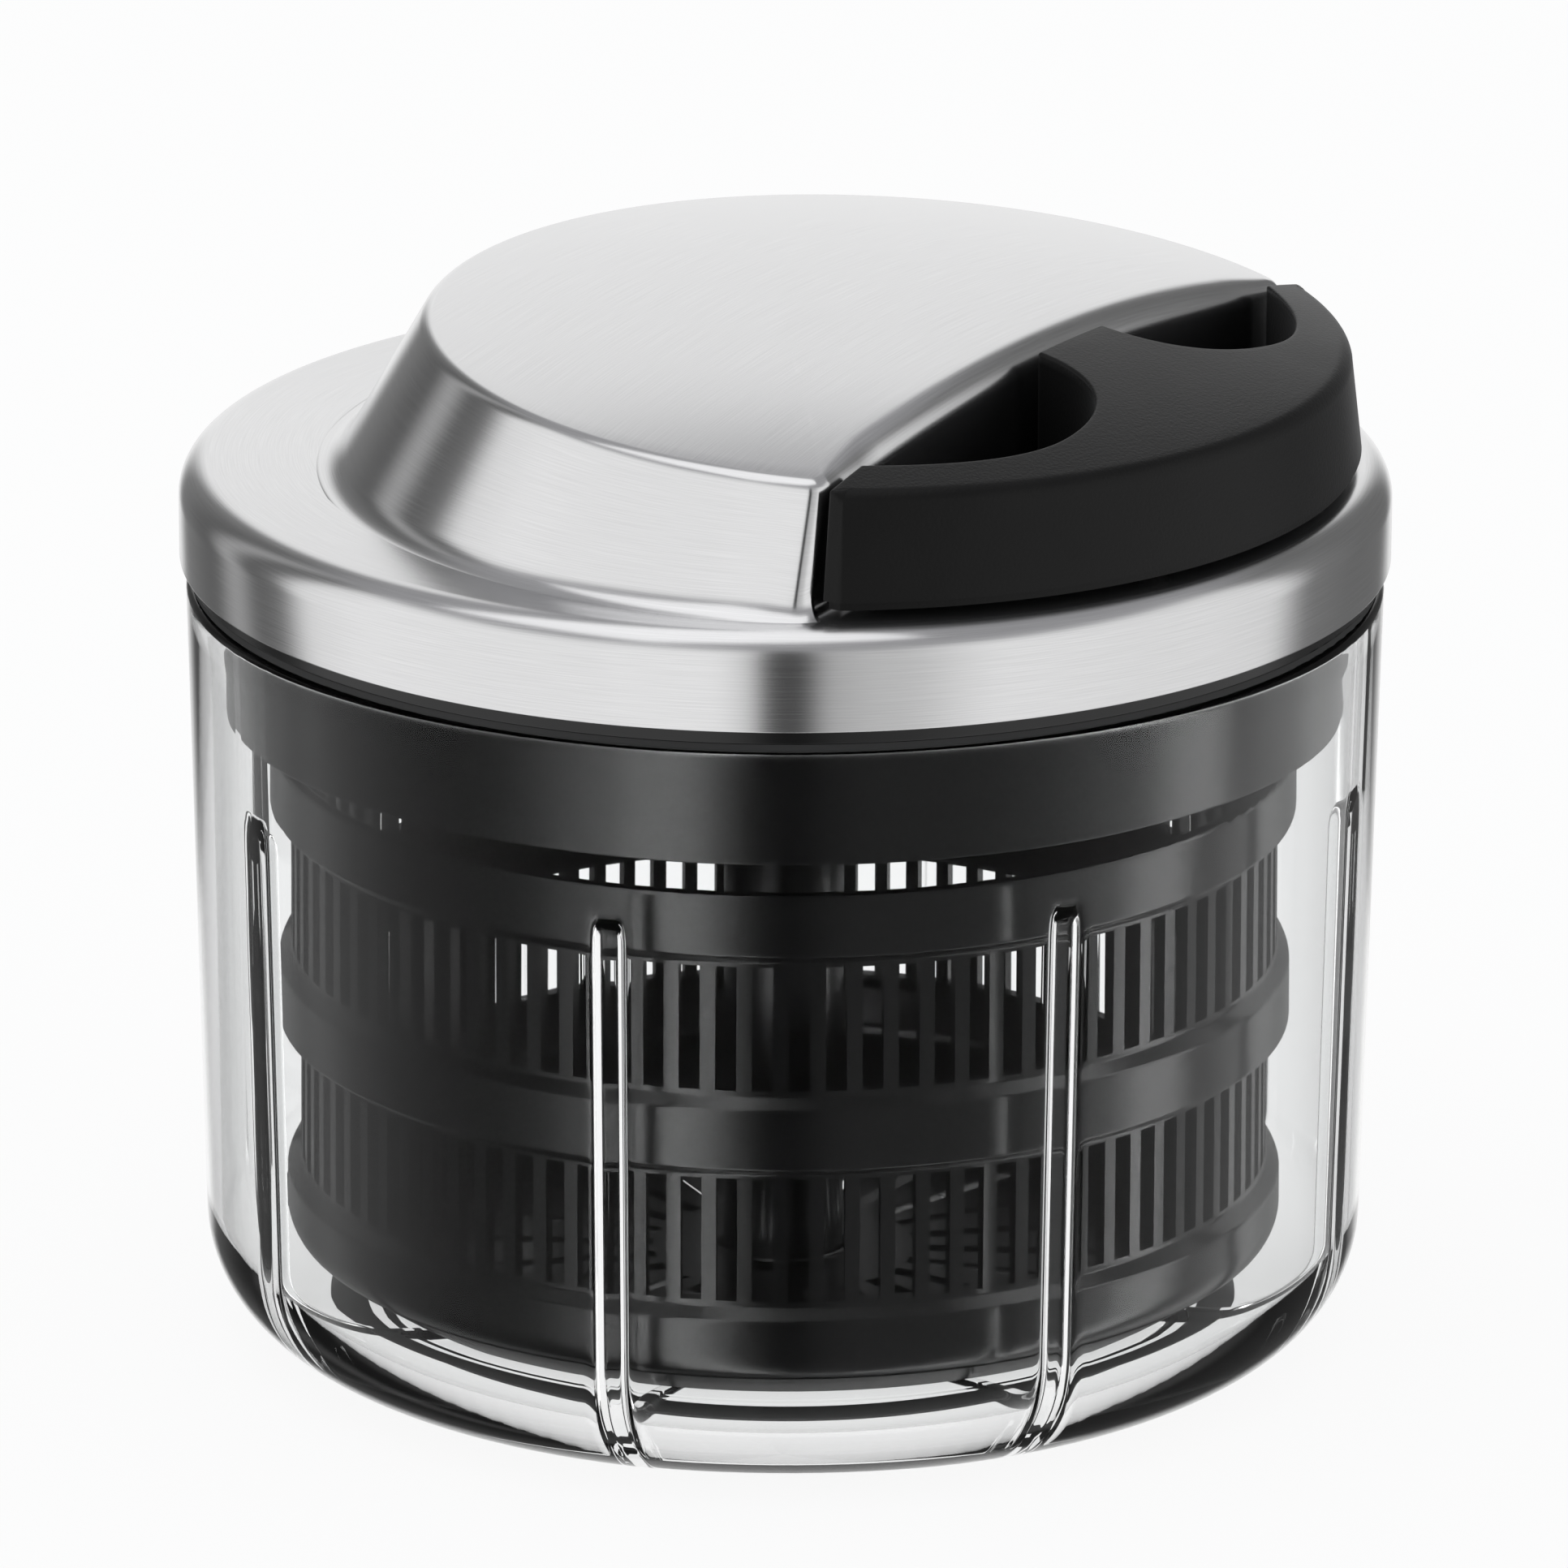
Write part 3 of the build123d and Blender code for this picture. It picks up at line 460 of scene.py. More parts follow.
def revolved(profile, angle):
    """Profile of (radius, height) points turned about Z through the angles; rows follow them."""
    radius = profile[None, :, 0]
    x = radius * np.cos(angle)[:, None]
    y = radius * np.sin(angle)[:, None]
    z = np.broadcast_to(profile[None, :, 1], x.shape)
    return np.stack([x, y, z], -1)


# ---------------------------------------------------------------- steel cover
def crown(x, y):
    """Height of the spherical crown over a point in plan."""
    return crown_top - CROWN_RADIUS + np.sqrt(CROWN_RADIUS**2 - x * x - y * y)


def step_height(radius):
    """Height of the step, which climbs a little towards the axis and rounds off at the rim."""
    share = np.clip((STEP_OUTER - radius) / (STEP_OUTER - STEP_INNER), 0, 1)
    over = np.clip(radius - STEP_OUTER, 0, RIM_ROUND)
    drop = RIM_ROUND - np.sqrt(RIM_ROUND**2 - over**2)
    return rim_z + STEP_LOW + (STEP_HIGH - STEP_LOW) * share - drop


def dome_outline(height):
    """Horizontal section of the dome: a circle cut off by the flat face, with rounded corners.

    height is an array over the outline's points, so each point is taken at its own height.
    Returns plan points and outward directions.
    """
    chord, bend, arc = CHORD_POINTS, BEND_POINTS, ARC_POINTS
    share = (height - rim_z - ARC_LOW) / ARC_CLIMB
    radius = ARC_RADIUS - ARC_RADIUS_LOSS * share
    centre = -(ARC_CENTRE + ARC_CENTRE_SHIFT * share)
    climb = np.clip((height - rim_z - STEP_HIGH) / (crown_top - rim_z - STEP_HIGH - 8.0), 0, 1)
    bend_radius = CORNER_ROUND_LOW + (CORNER_ROUND_HIGH - CORNER_ROUND_LOW) * climb
    inner = radius - bend_radius
    lift = cut_y + bend_radius - centre
    corner_x = np.sqrt(inner**2 - lift**2)
    corner_angle = np.arctan2(lift, corner_x)
    part = np.concatenate([np.zeros(chord), np.ones(bend), np.full(arc, 2), np.full(bend, 3),
                           np.full(chord, 4)])
    way = np.concatenate([np.linspace(0, 1, chord, endpoint=False),
                          np.linspace(0, 1, bend, endpoint=False),
                          np.linspace(0, 1, arc, endpoint=False),
                          np.linspace(0, 1, bend, endpoint=False),
                          np.linspace(0, 1, chord, endpoint=False)])
    turn = np.where(part == 1, -np.pi / 2 + way * (corner_angle + np.pi / 2), 0)
    turn = np.where(part == 2, corner_angle + way * (np.pi - 2 * corner_angle), turn)
    turn = np.where(part == 3, np.pi - corner_angle + way * (corner_angle + np.pi / 2), turn)
    turn = np.where((part == 0) | (part == 4), -np.pi / 2, turn)
    n = np.stack([np.cos(turn), np.sin(turn)], -1)
    x = np.where(part == 0, way * corner_x, 0)
    x = np.where(part == 1, corner_x + bend_radius * n[:, 0], x)
    x = np.where(part == 2, radius * n[:, 0], x)
    x = np.where(part == 3, -corner_x + bend_radius * n[:, 0], x)
    x = np.where(part == 4, -(1 - way) * corner_x, x)
    y = np.full(x.shape, cut_y)
    y = np.where((part == 1) | (part == 3), cut_y + bend_radius * (1 + n[:, 1]), y)
    y = np.where(part == 2, centre + radius * n[:, 1], y)
    return np.stack([x, y], -1), n


def wall_point(height):
    """Points of the dome's wall at the outline's heights, with their outward directions."""
    plan, n = dome_outline(height)
    return np.concatenate([plan, height[:, None]], -1), n


def unit(v):
    """Directions of the vectors, of length one."""
    return v / np.linalg.norm(v, axis=-1, keepdims=True)


def arc_between(corner, come, go, radius, steps):
    """Rows of an arc of the given radius that rounds a corner, from direction come to direction go."""
    cosine = np.clip(np.sum(come * go, -1, keepdims=True), -1, 1)
    turn = np.arccos(cosine)
    tangent = radius * np.tan(turn / 2)
    start = corner - come * tangent
    side = unit(go - come * cosine)
    centre = start + side * radius
    rows = []
    for way in np.linspace(0, 1, steps + 1):
        angle = turn * way
        rows.append(centre - side * radius * np.cos(angle) + come * radius * np.sin(angle))
    return rows


def wall_meets(surface, start):
    """Wall points at the height that a surface has there, closed in on by repeated tries."""
    height = np.full(2 * CHORD_POINTS + 2 * BEND_POINTS + ARC_POINTS, start)
    for _ in range(12):
        point, n = wall_point(height)
        height = surface(point[:, 0], point[:, 1])
    return wall_point(height)


def foot_rows(base, up, n):
    """Rows of the hollow that leads from the step into the wall, as wide as the step leaves room."""
    outward = np.concatenate([n, np.zeros((len(n), 1))], -1)
    room = np.clip(FOOT_LIMIT - np.hypot(base[:, 0], base[:, 1]), 0.5, None)
    turn = np.arccos(np.clip(np.sum(-up * outward, -1), -1, 1))
    hollow = np.minimum(FOOT_HOLLOW, 0.8 * room / np.tan(turn / 2))[:, None]
    on_flat = np.abs(n[:, 1] + 1)[:, None] < 0.02
    hollow = np.where(on_flat, np.minimum(hollow, FOOT_HOLLOW_FLAT), hollow)
    rows = arc_between(base, -up, outward, hollow, 10)[::-1]
    end = rows[0]
    drop = step_height(np.hypot(end[:, 0], end[:, 1])) - end[:, 2]
    for row, share in zip(rows, np.linspace(1, 0, len(rows))):
        row[:, 2] += drop * share
    sunk = rows[0] + outward * 0.4 - np.array([0, 0, 0.5])
    return [sunk] + rows


def crease_rows(crease, up, n):
    """Rows that round the crown's edge, wider along the flat face, and end on the crown."""
    inside = crease[:, :2] - n
    slope = crown(inside[:, 0], inside[:, 1]) - crown(crease[:, 0], crease[:, 1])
    over = unit(np.concatenate([-n, slope[:, None]], -1))
    from_corner = FLAT_HALF - np.abs(crease[:, 0])
    front = np.clip(-n[:, 1], 0, 1) ** 4 * np.clip(from_corner / 12.0, 0, 1)
    rounding = (CREASE_ROUND + (FRONT_CREASE_ROUND - CREASE_ROUND) * front)[:, None]
    rows = arc_between(crease, up, over, rounding, 12)
    edge = rows[-1]
    error = crown(edge[:, 0], edge[:, 1]) - edge[:, 2]
    for row, share in zip(rows, np.linspace(0, 1, len(rows))):
        row[:, 2] += error * share
    return rows


def make_dome():
    """Dome of the cover: hollow foot on the step, slanted wall, rounded crease and crown."""
    crease, _ = wall_meets(crown, rim_z + 40.0)
    base, n = wall_meets(lambda x, y: step_height(np.hypot(x, y)), rim_z + STEP_HIGH)
    up = unit(crease - base)
    low = foot_rows(base, up, n)
    high = crease_rows(crease, up, n)
    wall = [low[-1] + (high[0] - low[-1]) * way for way in np.linspace(0, 1, 9)[1:-1]]
    rows = np.array(low + wall + high)
    middle = np.array([0.0, 6.0])
    cap = [high[-1]]
    for way in np.linspace(1, 0, 30)[1:]:
        plan = middle + (high[-1][:, :2] - middle) * way
        cap.append(np.concatenate([plan, crown(plan[:, 0], plan[:, 1])[:, None]], -1))
    cap = np.array(cap)
    ring = np.linalg.norm(np.diff(np.concatenate([base, base[:1]]), axis=0), axis=1)
    u = np.concatenate([[0], np.cumsum(ring)[:-1]])
    climb = np.linalg.norm(np.diff(rows, axis=0), axis=-1).mean(1)
    v = np.concatenate([[0], np.cumsum(climb)])
    uv = np.stack(np.broadcast_arrays(u[None, :], v[:, None]), -1) * MM
    grids = [(rows, False, True), (cap, False, True)]
    return make_piece("cover_dome", grids, "lid", weld=0.02, sharp=180.0,
                      uv=[uv, cap[:, :, :2] * MM])


def make_rim():
    """Rim and step of the cover: a closed profile of sheet thickness turned about the axis."""
    outer = rounded_path([
        (STEP_START, STEP_HIGH, 0), (STEP_INNER, STEP_HIGH, 60.0), (STEP_OUTER, STEP_LOW, 0)],
        4)[:-1]
    bend = rounded_path([
        (STEP_INNER + 6, STEP_HIGH - 0.45, 0), (rim_radius, STEP_LOW, RIM_ROUND),
        (rim_radius, 0.0, 0.35), (rim_radius - SHEET, 0.0, 0.35),
        (rim_radius - SHEET, STEP_LOW - SHEET, RIM_ROUND - SHEET),
        (STEP_START, STEP_HIGH - SHEET, 0)], 14)
    profile = np.concatenate([outer, bend])
    profile = profile + np.array([0, rim_z])
    angle = full_turn(360)
    grid = revolved(profile, angle)
    v = along(profile)
    u = angle * rim_radius
    uv = np.stack(np.broadcast_arrays(u[:, None], v[None, :]), -1) * MM
    return make_piece("cover_rim", [(grid, True, True)], "lid", uv=[uv])


# ---------------------------------------------------------------- handle
def handle_top(x, y):
    """Height of the handle's top, a little above the crown's sphere."""
    return crown(x, y) + HANDLE_STAND


def bezier(a, b, c, d, count=24):
    """Points of a cubic curve from a to d that leaves towards b and arrives from c."""
    t = np.linspace(0, 1, count)[:, None]
    a, b, c, d = (np.array(p, float) for p in (a, b, c, d))
    return (1 - t) ** 3 * a + 3 * (1 - t) ** 2 * t * b + 3 * (1 - t) * t * t * c + t**3 * d


def recess_line():
    """Inner outline of the handle's right half: end corner, finger recess, tongue, to the middle.

    The recess is two cubic curves that meet level at its deepest point. The plain numbers are
    how far each curve runs on towards its own end's direction.
    """
    face = face_y
    deep = (RECESS_MIDDLE, face - RECESS_DEPTH)
    mouth = (RECESS_MOUTH, face)
    outer = bezier(mouth, (mouth[0] - 6.6, face - 8.8), (deep[0] + 12.5, deep[1]), deep)
    inner = bezier(deep, (deep[0] - 14.5, deep[1]), (TONGUE_HALF, face - 11.4), (TONGUE_HALF, face))
    bend = [(x, y, 0) for x, y in np.concatenate([outer[1:], inner[1:-1]])]
    start = [(grip_half - 1.5, face, 0), mouth + (0.6,)]
    finish = [(TONGUE_HALF, face, 0.7), (0, face, 0)]
    return rounded_path(start + bend + finish, 12)


def side_directions(line):
    """Directions square to a line of plan points, to its left."""
    step = np.gradient(line, axis=0)
    step = unit(step)
    return np.stack([-step[:, 1], step[:, 0]], -1)


def handle_loop():
    """Plan outline of the handle's right half as two paired lines, from the middle to the end.

    The inner line follows the back face and the recess, the outer line the large arc, and they
    meet on the end face. Up to pair_x each inner point has its outer point straight ahead of it.
    """
    right = spread(recess_line()[::-1], 190)
    arc_centre = HANDLE_ARC - grip_reach
    end_y = arc_centre - math.sqrt(HANDLE_ARC**2 - grip_half**2)
    pole_y = (face_y + end_y) / 2 + 0.3
    inner_end = rounded_path([
        (right[-1][0], face_y, 0), (grip_half, face_y, BACK_ROUND), (grip_half, pole_y, 0)], 8)
    inner = np.concatenate([right[:-1], spread(inner_end, 22)])
    pair_x = RECESS_MOUTH + 2.0
    near = right[:-1, 0][right[:-1, 0] < pair_x]

    def arc_at(x):
        return np.stack([x, arc_centre - np.sqrt(HANDLE_ARC**2 - x * x)], -1)

    front = arc_at(near)
    side = arc_at(np.linspace(near[-1], grip_half - 1.4, 40))
    ahead = unit(side[-1] - side[-2])
    corner = side[-1] + ahead * (grip_half - side[-1, 0]) / ahead[0]
    outer_end = rounded_path([tuple(side[-1]) + (0,), tuple(corner) + (HANDLE_CORNER,),
                              (grip_half, pole_y, 0)], 14)
    tail = spread(np.concatenate([side, outer_end[1:]]), len(inner) - len(near) + 1)[1:]
    return inner, np.concatenate([front, tail])


def mirrored(half):
    """Both halves of a line that starts on the plane x = 0."""
    other = half[::-1].copy()
    other[:, 0] *= -1
    return np.concatenate([other[:-1], half])


def handle_shell(low, top, inner_round, outer_round):
    """Grids of the handle's closed shell: top, rounded edges, drafted wall, underside.

    The outer wall leans out at the draft all over, the recess walls stand upright between the
    mouths, and on the end faces the outer edge's round narrows to the back's.
    """
    inner, outer = handle_loop()
    inner, outer = mirrored(inner), mirrored(outer)
    loop = np.concatenate([outer, inner[::-1][1:-1]])
    closed = np.concatenate([loop[-1:], loop, loop[:1]])
    n = side_directions(closed)[1:-1]
    count = len(outer)
    far = np.abs(loop[:, 0])
    is_outer = np.arange(len(loop)) < count
    at_end = far > grip_half - 0.5
    share = np.clip((loop[:, 1] - (face_y - 2.6)) / 1.6, 0, 1)
    round_off = np.where(is_outer, outer_round, inner_round)
    round_off = np.where(at_end, outer_round + (inner_round - outer_round) * share, round_off)[:, None]
    lean = (HANDLE_DRAFT * (top(loop[:, 0], loop[:, 1]) - low))[:, None]
    beside = np.clip((far - RECESS_MOUTH) / (grip_half - 1.0 - RECESS_MOUTH), 0, 1)
    sideways = np.stack([-np.sign(loop[:, 0]) * beside, 0 * beside], -1)
    rim = loop + lean * np.where(is_outer[:, None], n, sideways)
    rows = [np.concatenate([loop, np.full((len(loop), 1), low)], -1)]
    wall_top = top(rim[:, 0], rim[:, 1])[:, None] - round_off
    for way in (0.02, 0.5, 0.97):
        plan = loop + (rim - loop) * way
        rows.append(np.concatenate([plan, low + (wall_top - low) * way], -1))
    for way in np.linspace(0, np.pi / 2, 9):
        plan = rim + n * round_off * (1 - np.cos(way))
        lift = top(plan[:, 0], plan[:, 1])[:, None] - round_off * (1 - np.sin(way))
        rows.append(np.concatenate([plan, lift], -1))
    last = rows[-1]
    upper_outer = last[:count]
    upper_inner = np.concatenate([last[:1], last[count:][::-1], last[count - 1:count]])
    fill = []
    for way in np.linspace(0, 1, 15):
        plan = (upper_outer + (upper_inner - upper_outer) * way)[:, :2]
        fill.append(np.concatenate([plan, top(plan[:, 0], plan[:, 1])[:, None]], -1))
    lower = rows[0]
    lower_inner = np.concatenate([lower[:1], lower[count:][::-1], lower[count - 1:count]])
    under = [lower[:count] + (lower_inner - lower[:count]) * way for way in (0, 0.5, 1)]
    return [(np.array(rows), False, True), (np.array(fill), False, False),
            (np.array(under), False, False)]


def make_handle():
    """Grip with its top on the crown's sphere and two finger recesses, closed by their floors."""
    grids = handle_shell(grip_low, handle_top, BACK_ROUND, HANDLE_ROUND)
    floor_z = grip_low + RECESS_FLOOR
    line = recess_line()[::-1]
    keep = (line[:, 0] > TONGUE_HALF - 0.8) & (line[:, 0] < RECESS_MOUTH + 2.0)
    line = line[keep]
    line = line - side_directions(line) * FLOOR_TUCK
    line[:, 1] = np.minimum(line[:, 1], face_y - 0.15)
    for side in (-1, 1):
        edge = line * np.array([side, 1])
        front = np.stack([edge[:, 0], np.full(len(edge), face_y - 0.12)], -1)
        rows = []
        for plan, z in ((front, grip_low + 0.05), (front, floor_z), (edge, floor_z),
                        (edge, grip_low + 0.05)):
            rows.append(np.concatenate([plan, np.full((len(plan), 1), z)], -1))
        grids.append((np.array(rows), True, False))
    handle = make_piece("handle_shell", grids, "handle", weld=0.001, sharp=35.0)
    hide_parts("handle_grip")
    return handle


# ---------------------------------------------------------------- clear bowl
def bowl_profile(inset):
    """Floor height and radius at the floor and the rim, of the wall moved inwards by inset."""
    top_radius = bowl_radius - inset
    low = foot_z if inset == 0 else foot_z + FOOT_STEP + inset
    low_radius = top_radius - (bowl_top - foot_z) * BOWL_DRAFT
    return low, low_radius, top_radius


def make_bowl():
    """Clear bowl as one closed wall; the inside carries eight round ribs that sink into the corner.

    The inside's radius is the drafted wall's less a rounded bump around each rib's angle, which
    starts in the bottom corner and ends in a round cap under the lid's skirt.
    """
    per_rib, between = 41, 14
    pitch = 2 * np.pi / RIBS
    half_angle = RIB_HALF / RIB_CIRCLE
    bump_steps = np.linspace(-1, 1, per_rib) * half_angle
    rest_steps = half_angle + (pitch - 2 * half_angle) * np.linspace(0, 1, between + 2)[1:-1]
    one_rib = np.concatenate([bump_steps, rest_steps])
    angle = np.concatenate([FIRST_RIB + k * pitch + one_rib for k in range(RIBS)])
    count = len(angle)
    low, low_radius, top_radius = bowl_profile(0)
    foot_inner = low_radius - BOWL_CORNER - FOOT_WIDTH
    under = foot_z + FOOT_STEP
    outer = rounded_path([
        (0.0, under, 0), (foot_inner, under, 1.0), (foot_inner + 0.8, foot_z, 0.6),
        (low_radius, foot_z, BOWL_CORNER), (top_radius, bowl_top, 1.2),
        (top_radius - BOWL_WALL, bowl_top, 1.2), (top_radius - BOWL_WALL - 0.05, bowl_top - 3, 0)], 16)
    outer = np.concatenate([spread(outer[:2], 3)[:-1], outer[1:]])
    low, low_radius, top_radius = bowl_profile(BOWL_WALL)
    wall = rounded_path([
        (top_radius, bowl_top - 3, 0), (low_radius, low, BOWL_CORNER - BOWL_WALL),
        (PIVOT_BOSS + 1.5, low, 0)], 18)
    wall = np.concatenate([spread(wall[:2], 60)[:-1], wall[1:]])
    radius, height = wall[:, 0], wall[:, 1]
    out = side_directions(wall)
    ends = reach("basket", 2, 1) - RIB_DROP
    cap = np.clip((ends - height) / RIB_CAP, 0, 1)
    cap = np.sqrt(np.clip(1 - (1 - cap) ** 2, 0, 1))
    foot = np.clip((radius - (low_radius - BOWL_CORNER - 2)) / 8.0, 0, 1)
    foot = foot * foot * (3 - 2 * foot)
    across = np.concatenate([np.abs(bump_steps) / half_angle * RIB_HALF, np.full(between, 9.0)])
    across = np.tile(across, RIBS)
    bump = 1 / (1 + (across / RIB_FLANK) ** RIB_STEEPNESS)
    push = RIB_RISE * bump[:, None] * (cap * foot)[None, :]
    inner_radius = radius[None, :] - push * np.abs(out[None, :, 0])
    inner_height = height[None, :] + push * np.abs(out[None, :, 1])
    turn = np.stack([np.cos(angle), np.sin(angle)], -1)
    inner = np.stack([inner_radius * turn[:, :1], inner_radius * turn[:, 1:], inner_height], -1)
    boss = rounded_path([
        (PIVOT_BOSS + 1.5, low, 0), (PIVOT_BOSS, low, 0.6), (PIVOT_BOSS, low + 1.2, 0.4),
        (0.0, low + 1.2, 0)], 4)
    outside, middle = (revolved(line, angle) for line in (outer, boss))
    grid = np.concatenate([outside, inner[:, 1:], middle[:, 1:]], 1)
    bowl = make_piece("clear_bowl", [(grid, True, False)], "bowl",
                      weld=0.001, sharp=60.0)
    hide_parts("bowl")
    return bowl


# ---------------------------------------------------------------- pull cord
def make_cord():
    """Braided cord from the guide to the knot: a round tube."""
    round_points = 20
    held, drawn = guide_y + 0.1, guide_y - 1.5
    y = np.concatenate([np.linspace(held + 0.2, held, 3)[:-1], np.linspace(held, drawn, 140),
                        np.linspace(drawn, knot_y, 12)[1:]])
    turn = full_turn(round_points)
    rows = np.stack(np.broadcast_arrays(
        CORD_RADIUS * np.cos(turn), y[:, None], cord_z + CORD_RADIUS * np.sin(turn)), -1)
    ends = np.array([[0, y[0], cord_z], [0, y[-1], cord_z]])
    first, last = (np.broadcast_to(end, (1, round_points, 3)) for end in ends)
    rows = np.concatenate([first, rows, last])
    lengthwise = np.linspace(0, 1, len(rows))[:, None]
    uv = np.stack(np.broadcast_arrays(turn / (2 * np.pi), lengthwise), -1)
    cord = make_piece("pull_cord", [(rows, False, True)], None, uv=[uv])
    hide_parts("cord_outer")
    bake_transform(cord)
    return cord


# ---------------------------------------------------------------- finishes
def plastic_or_metal(name, **values):
    """New material: its tree and its shader, with the values set on the shader's own sockets."""
    material = bpy.data.materials.new(name)
    tree = node_tree(material)
    shader = tree.nodes.new("ShaderNodeBsdfPrincipled")
    for socket, value in values.items():
        shader.inputs[socket.replace("_", " ")].default_value = value
    out = tree.nodes.new("ShaderNodeOutputMaterial")
    tree.links.new(shader.outputs[0], out.inputs["Surface"])
    return material, tree, shader


def on_object(tree):
    """Place on the object, in metres from the origin."""
    return tree.nodes.new("ShaderNodeTexCoord").outputs["Object"]


def noise(tree, place, scale, detail=2.0, roughness=0.5):
    """Cloudy pattern over a place socket: grain, mottle or smears."""
    node = tree.nodes.new("ShaderNodeTexNoise")
    node.inputs["Scale"].default_value = scale
    node.inputs["Detail"].default_value = detail
    node.inputs["Roughness"].default_value = roughness
    tree.links.new(place, node.inputs["Vector"])
    return node.outputs[0]


def two_tones(tree, share, dark, light, spots=(0.3, 0.7)):
    """Colour that goes from dark to light between two spots of the share."""
    node = tree.nodes.new("ShaderNodeValToRGB")
    for element, spot, colour in zip(node.color_ramp.elements, spots, (dark, light)):
        element.position = spot
        element.color = colour + (1,)
    tree.links.new(share, node.inputs["Fac"])
    return node.outputs[0]


def bumped(tree, height, strength, distance):
    """Surface direction of a skin that rises and falls with the height socket."""
    node = tree.nodes.new("ShaderNodeBump")
    node.inputs["Strength"].default_value = strength
    node.inputs["Distance"].default_value = distance
    tree.links.new(height, node.inputs["Height"])
    return node.outputs[0]


def brushed_steel():
    """Satin stainless sheet: fine grain drawn out along the surface's first direction."""
    material, tree, shader = plastic_or_metal(
        "satin_stainless", Metallic=1.0, Anisotropic=0.8, Anisotropic_Rotation=0.25)
    link = tree.links.new
    place = tree.nodes.new("ShaderNodeUVMap")
    place.uv_map = "surface"
    tangent = tree.nodes.new("ShaderNodeTangent")
    tangent.direction_type = "UV_MAP"
    tangent.uv_map = "surface"
    link(tangent.outputs[0], shader.inputs["Tangent"])
    draw = tree.nodes.new("ShaderNodeMapping")
    draw.inputs["Scale"].default_value = (60.0, 5200.0, 1.0)
    link(place.outputs[0], draw.inputs["Vector"])
    grain = noise(tree, draw.outputs[0], 1.0, detail=5.0, roughness=0.6)
    link(bumped(tree, grain, 0.10, 0.00006), shader.inputs["Normal"])
    link(two_tones(tree, grain, (0.70, 0.70, 0.705), (0.79, 0.79, 0.795)), shader.inputs["Base Color"])
    link(moved(tree, grain, (0.0, 1.0), (0.15, 0.23)), shader.inputs["Roughness"])
    return material


def moulded(name, colour, roughness, grain_size, depth, variation=0.15, specular=0.5, sheen=0.0):
    """Moulded plastic or rubber: a slight mottle in colour and gloss and a fine textured skin."""
    material, tree, shader = plastic_or_metal(
        name, Specular_IOR_Level=specular, Sheen_Weight=sheen, Sheen_Roughness=0.4)
    link = tree.links.new
    place = on_object(tree)
    mottle = noise(tree, place, 60.0)
    tones = [tuple(c * factor for c in colour) for factor in (1 - variation, 1 + variation)]
    link(two_tones(tree, mottle, *tones), shader.inputs["Base Color"])
    gloss = moved(tree, mottle, (0.0, 1.0), (roughness * 0.9, roughness * 1.1))
    link(gloss, shader.inputs["Roughness"])
    if depth:
        grain = noise(tree, place, 1.0 / grain_size, detail=3.0)
        link(bumped(tree, grain, 0.5, depth), shader.inputs["Normal"])
    return material


def paint_recess_shade(material):
    """Paint shade into the walls of the finger recesses: near black colour and matt gloss, by their
    place in the handle.

    These are the points under the top's sphere, nearer to the outer arc's centre than the outer
    wall, and between the far ends of the two mouths.
    """
    tree = material.node_tree
    shader = next(node for node in tree.nodes if node.type == "BSDF_PRINCIPLED")
    parts = tree.nodes.new("ShaderNodeSeparateXYZ")
    tree.links.new(on_object(tree), parts.inputs[0])
    x, y, z = parts.outputs

    def free(operation, *values):
        return combine(tree, operation, *values, held=False)

    def square(value):
        return free("MULTIPLY", value, value)

    def fading(value, none, full):
        """0 where the value is at none and 1 where it is at full, both in millimetres."""
        return moved(tree, value, (none * MM, full * MM))

    from_arc_centre = free("ADD", y, (grip_reach - HANDLE_ARC) * MM)
    distance = free("SQRT", free("ADD", square(x), square(from_arc_centre)))
    fall = free("MULTIPLY", free("ADD", square(x), square(y)), 1 / (2 * CROWN_RADIUS * MM))
    under_top = fading(free("ADD", z, fall), crown_top - 0.6, crown_top - 1.6)
    inward = fading(distance, RECESS_REACH + 1.0, RECESS_REACH)
    between = fading(free("ABSOLUTE", x), RECESS_MOUTH + 1.5, RECESS_MOUTH + 0.5)
    share = combine(tree, "MULTIPLY", combine(tree, "MULTIPLY", under_top, inward), between)
    # Painted shade: near black colour that stands in for the shade inside the finger recesses.
    painted_recess_shade_colour = (0.0008, 0.0008, 0.0008, 1)
    dull = (0.95, 0.95, 0.95, 1)
    for socket, value in (("Base Color", painted_recess_shade_colour), ("Roughness", dull)):
        mix = tree.nodes.new("ShaderNodeMix")
        mix.data_type = "RGBA"
        tree.links.new(share, mix.inputs["Factor"])
        tree.links.new(shader.inputs[socket].links[0].from_socket, mix.inputs["A"])
        mix.inputs["B"].default_value = value
        tree.links.new(mix.outputs["Result"], shader.inputs[socket])


def clear_plastic():
    """Clear moulded plastic, very slightly grey, with faint smears in its polish."""
    material, tree, shader = plastic_or_metal(
        "clear_moulding", Transmission_Weight=1.0, IOR=1.49,
        Base_Color=(0.975, 0.98, 0.98, 1), Specular_Tint=(0.05, 0.05, 0.05, 1))
    smears = noise(tree, on_object(tree), 35.0, detail=4.0)
    polish = moved(tree, smears, (0.0, 1.0), (0.008, 0.024))
    tree.links.new(polish, shader.inputs["Roughness"])
    return material


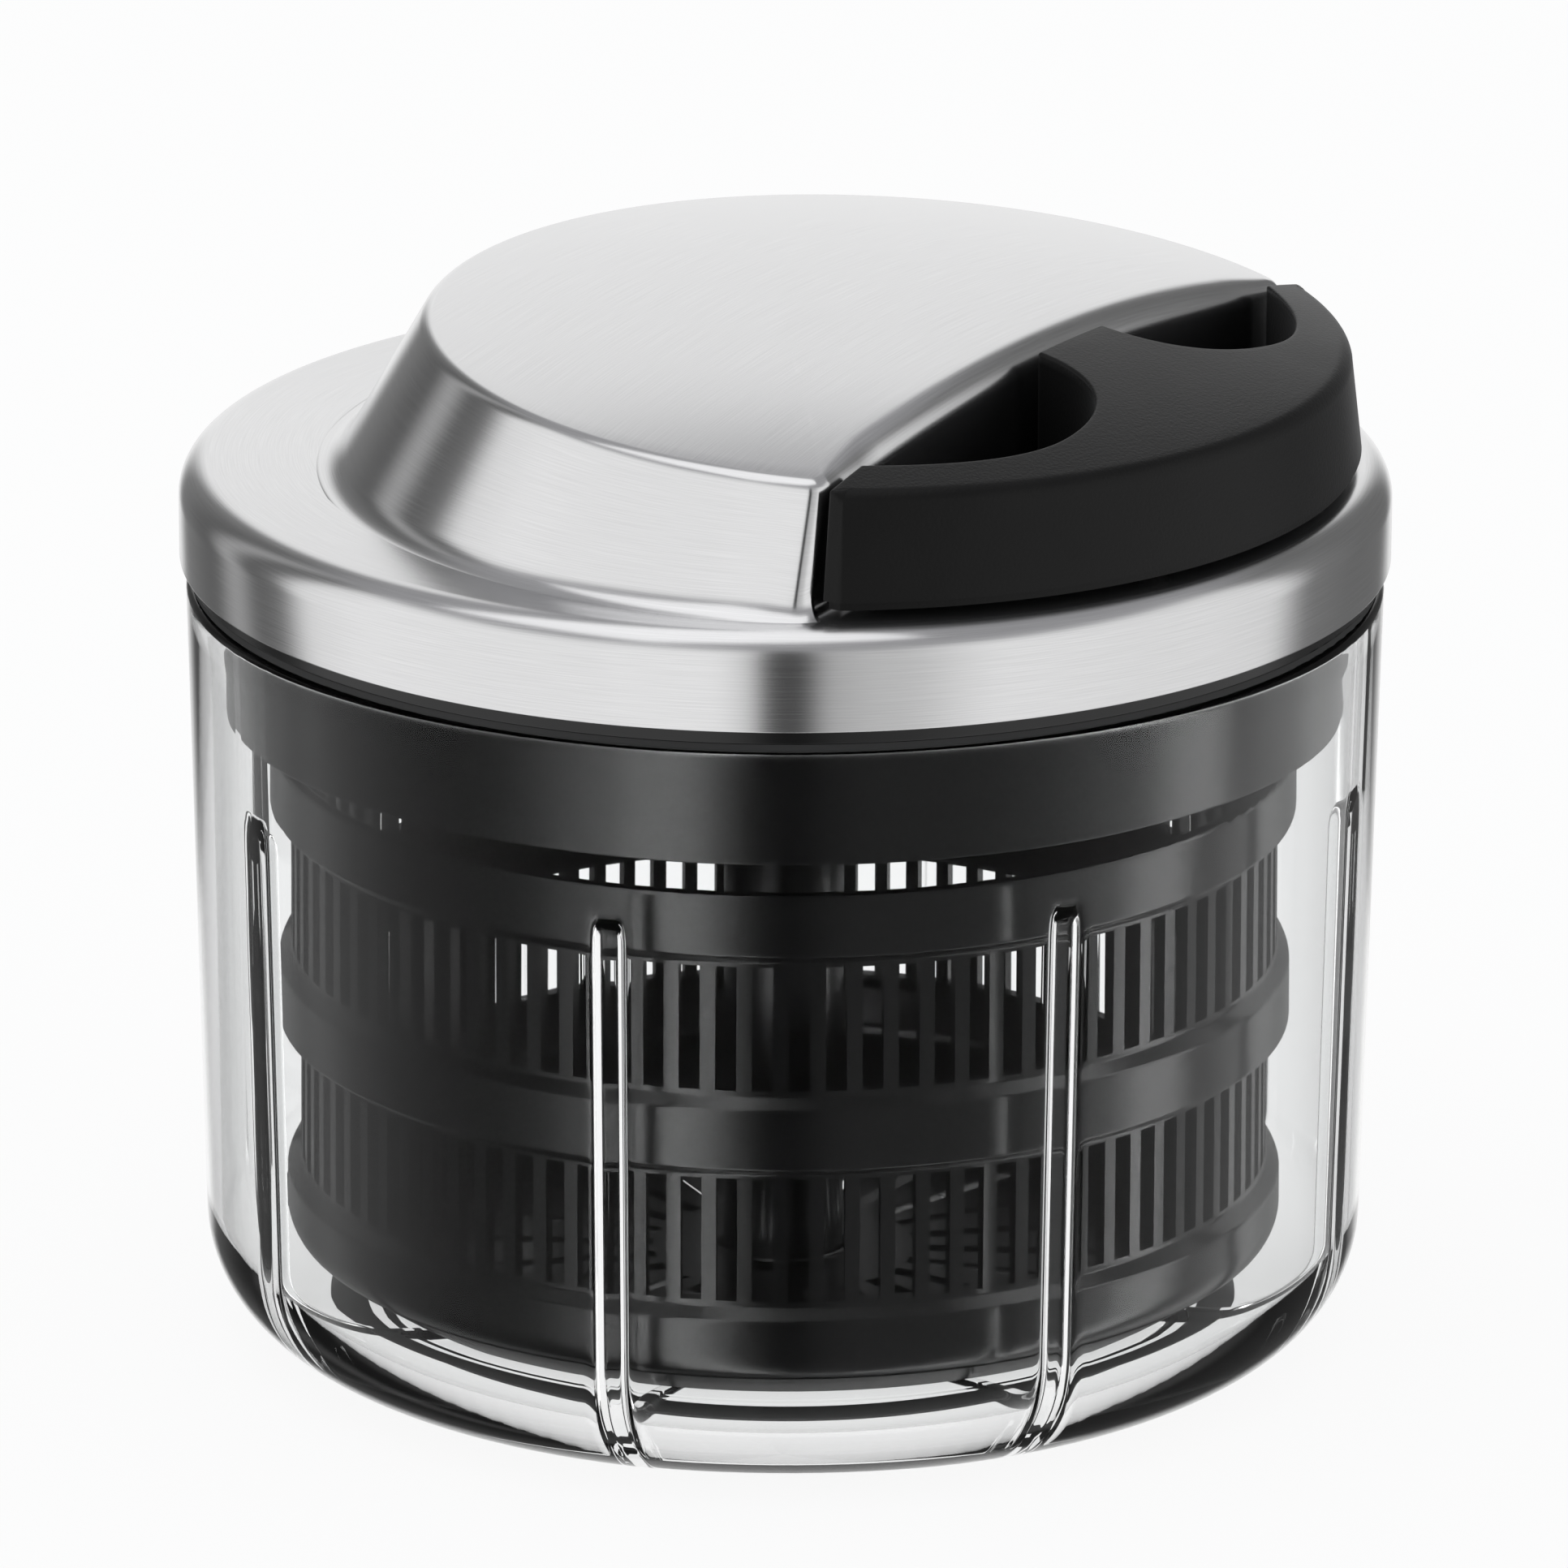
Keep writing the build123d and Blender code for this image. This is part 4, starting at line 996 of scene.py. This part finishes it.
def turned_metal():
    """Plain bright metal of the small inner parts."""
    material, tree, shader = plastic_or_metal("bright_metal", Metallic=1.0, Roughness=0.32)
    grain = noise(tree, on_object(tree), 900.0)
    tone = two_tones(tree, grain, (0.52, 0.52, 0.53), (0.66, 0.66, 0.67), spots=(0.0, 1.0))
    tree.links.new(tone, shader.inputs["Base Color"])
    return material


def finish_with(obj, material):
    """Give a piece one finish in place of those that it has."""
    obj.data.materials.clear()
    obj.data.materials.append(material)


# ---------------------------------------------------------------- the object
make_camera()
make_stage()
make_world()
area_light("overhead", (-0.3, 0.2, 1.9), (0, 0, 0.1), 1.4, 1.4, 5.0)

steel = brushed_steel()
dome = make_dome()
rim = make_rim()
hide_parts("lid_cover")
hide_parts("lid_cover")
sheet = dome.modifiers.new("sheet", "SOLIDIFY")
sheet.thickness = SHEET * MM
sheet.offset = -1.0
handle = make_handle()
bowl = make_bowl()
cord = make_cord()

handle_finish_and_recess_shade = moulded("handle_plastic_recess_shade", (0.0032, 0.0031, 0.003), 0.42, 0.0006, 0.00012,
                        variation=0.25, specular=0.2, sheen=0.06)
# Paints shade into the handle plastic's finger recesses.
paint_recess_shade(handle_finish_and_recess_shade)
satin_black = moulded("satin_black_plastic", (0.003, 0.003, 0.0031), 0.2, 0.0008, 0)
deep_black = moulded("black_plastic", (0.0025, 0.0025, 0.0026), 0.2, 0.0008, 0)
rubber = moulded("soft_rubber", (0.015, 0.015, 0.015), 0.7, 0.0006, 0.00003)
nylon = moulded("pale_nylon", (0.72, 0.71, 0.67), 0.45, 0.0009, 0.00003, variation=0.04)
braid = moulded("cord_braid", (0.03, 0.03, 0.03), 0.85, 0.0007, 0.0002)
metal = turned_metal()
clear = clear_plastic()

finish_with(dome, steel)
finish_with(rim, steel)
finish_with(handle, handle_finish_and_recess_shade)
finish_with(bowl, clear)
finish_with(cord, braid)
node_finish = {
    "brushed_steel": steel, "clear_plastic": clear, "black_moulding": deep_black,
    "black_satin": satin_black, "handle_black": handle_finish_and_recess_shade, "black_rubber": rubber,
    "pale_nylon": nylon, "steel_parts": metal, "cord": braid,
}
for part in frame["record"]["subparts"]:
    finish_with(nodes[part["node"]], node_finish[part["material_slot"]])

bpy.context.scene.view_settings.view_transform = "Standard"

bpy.context.view_layer.update()
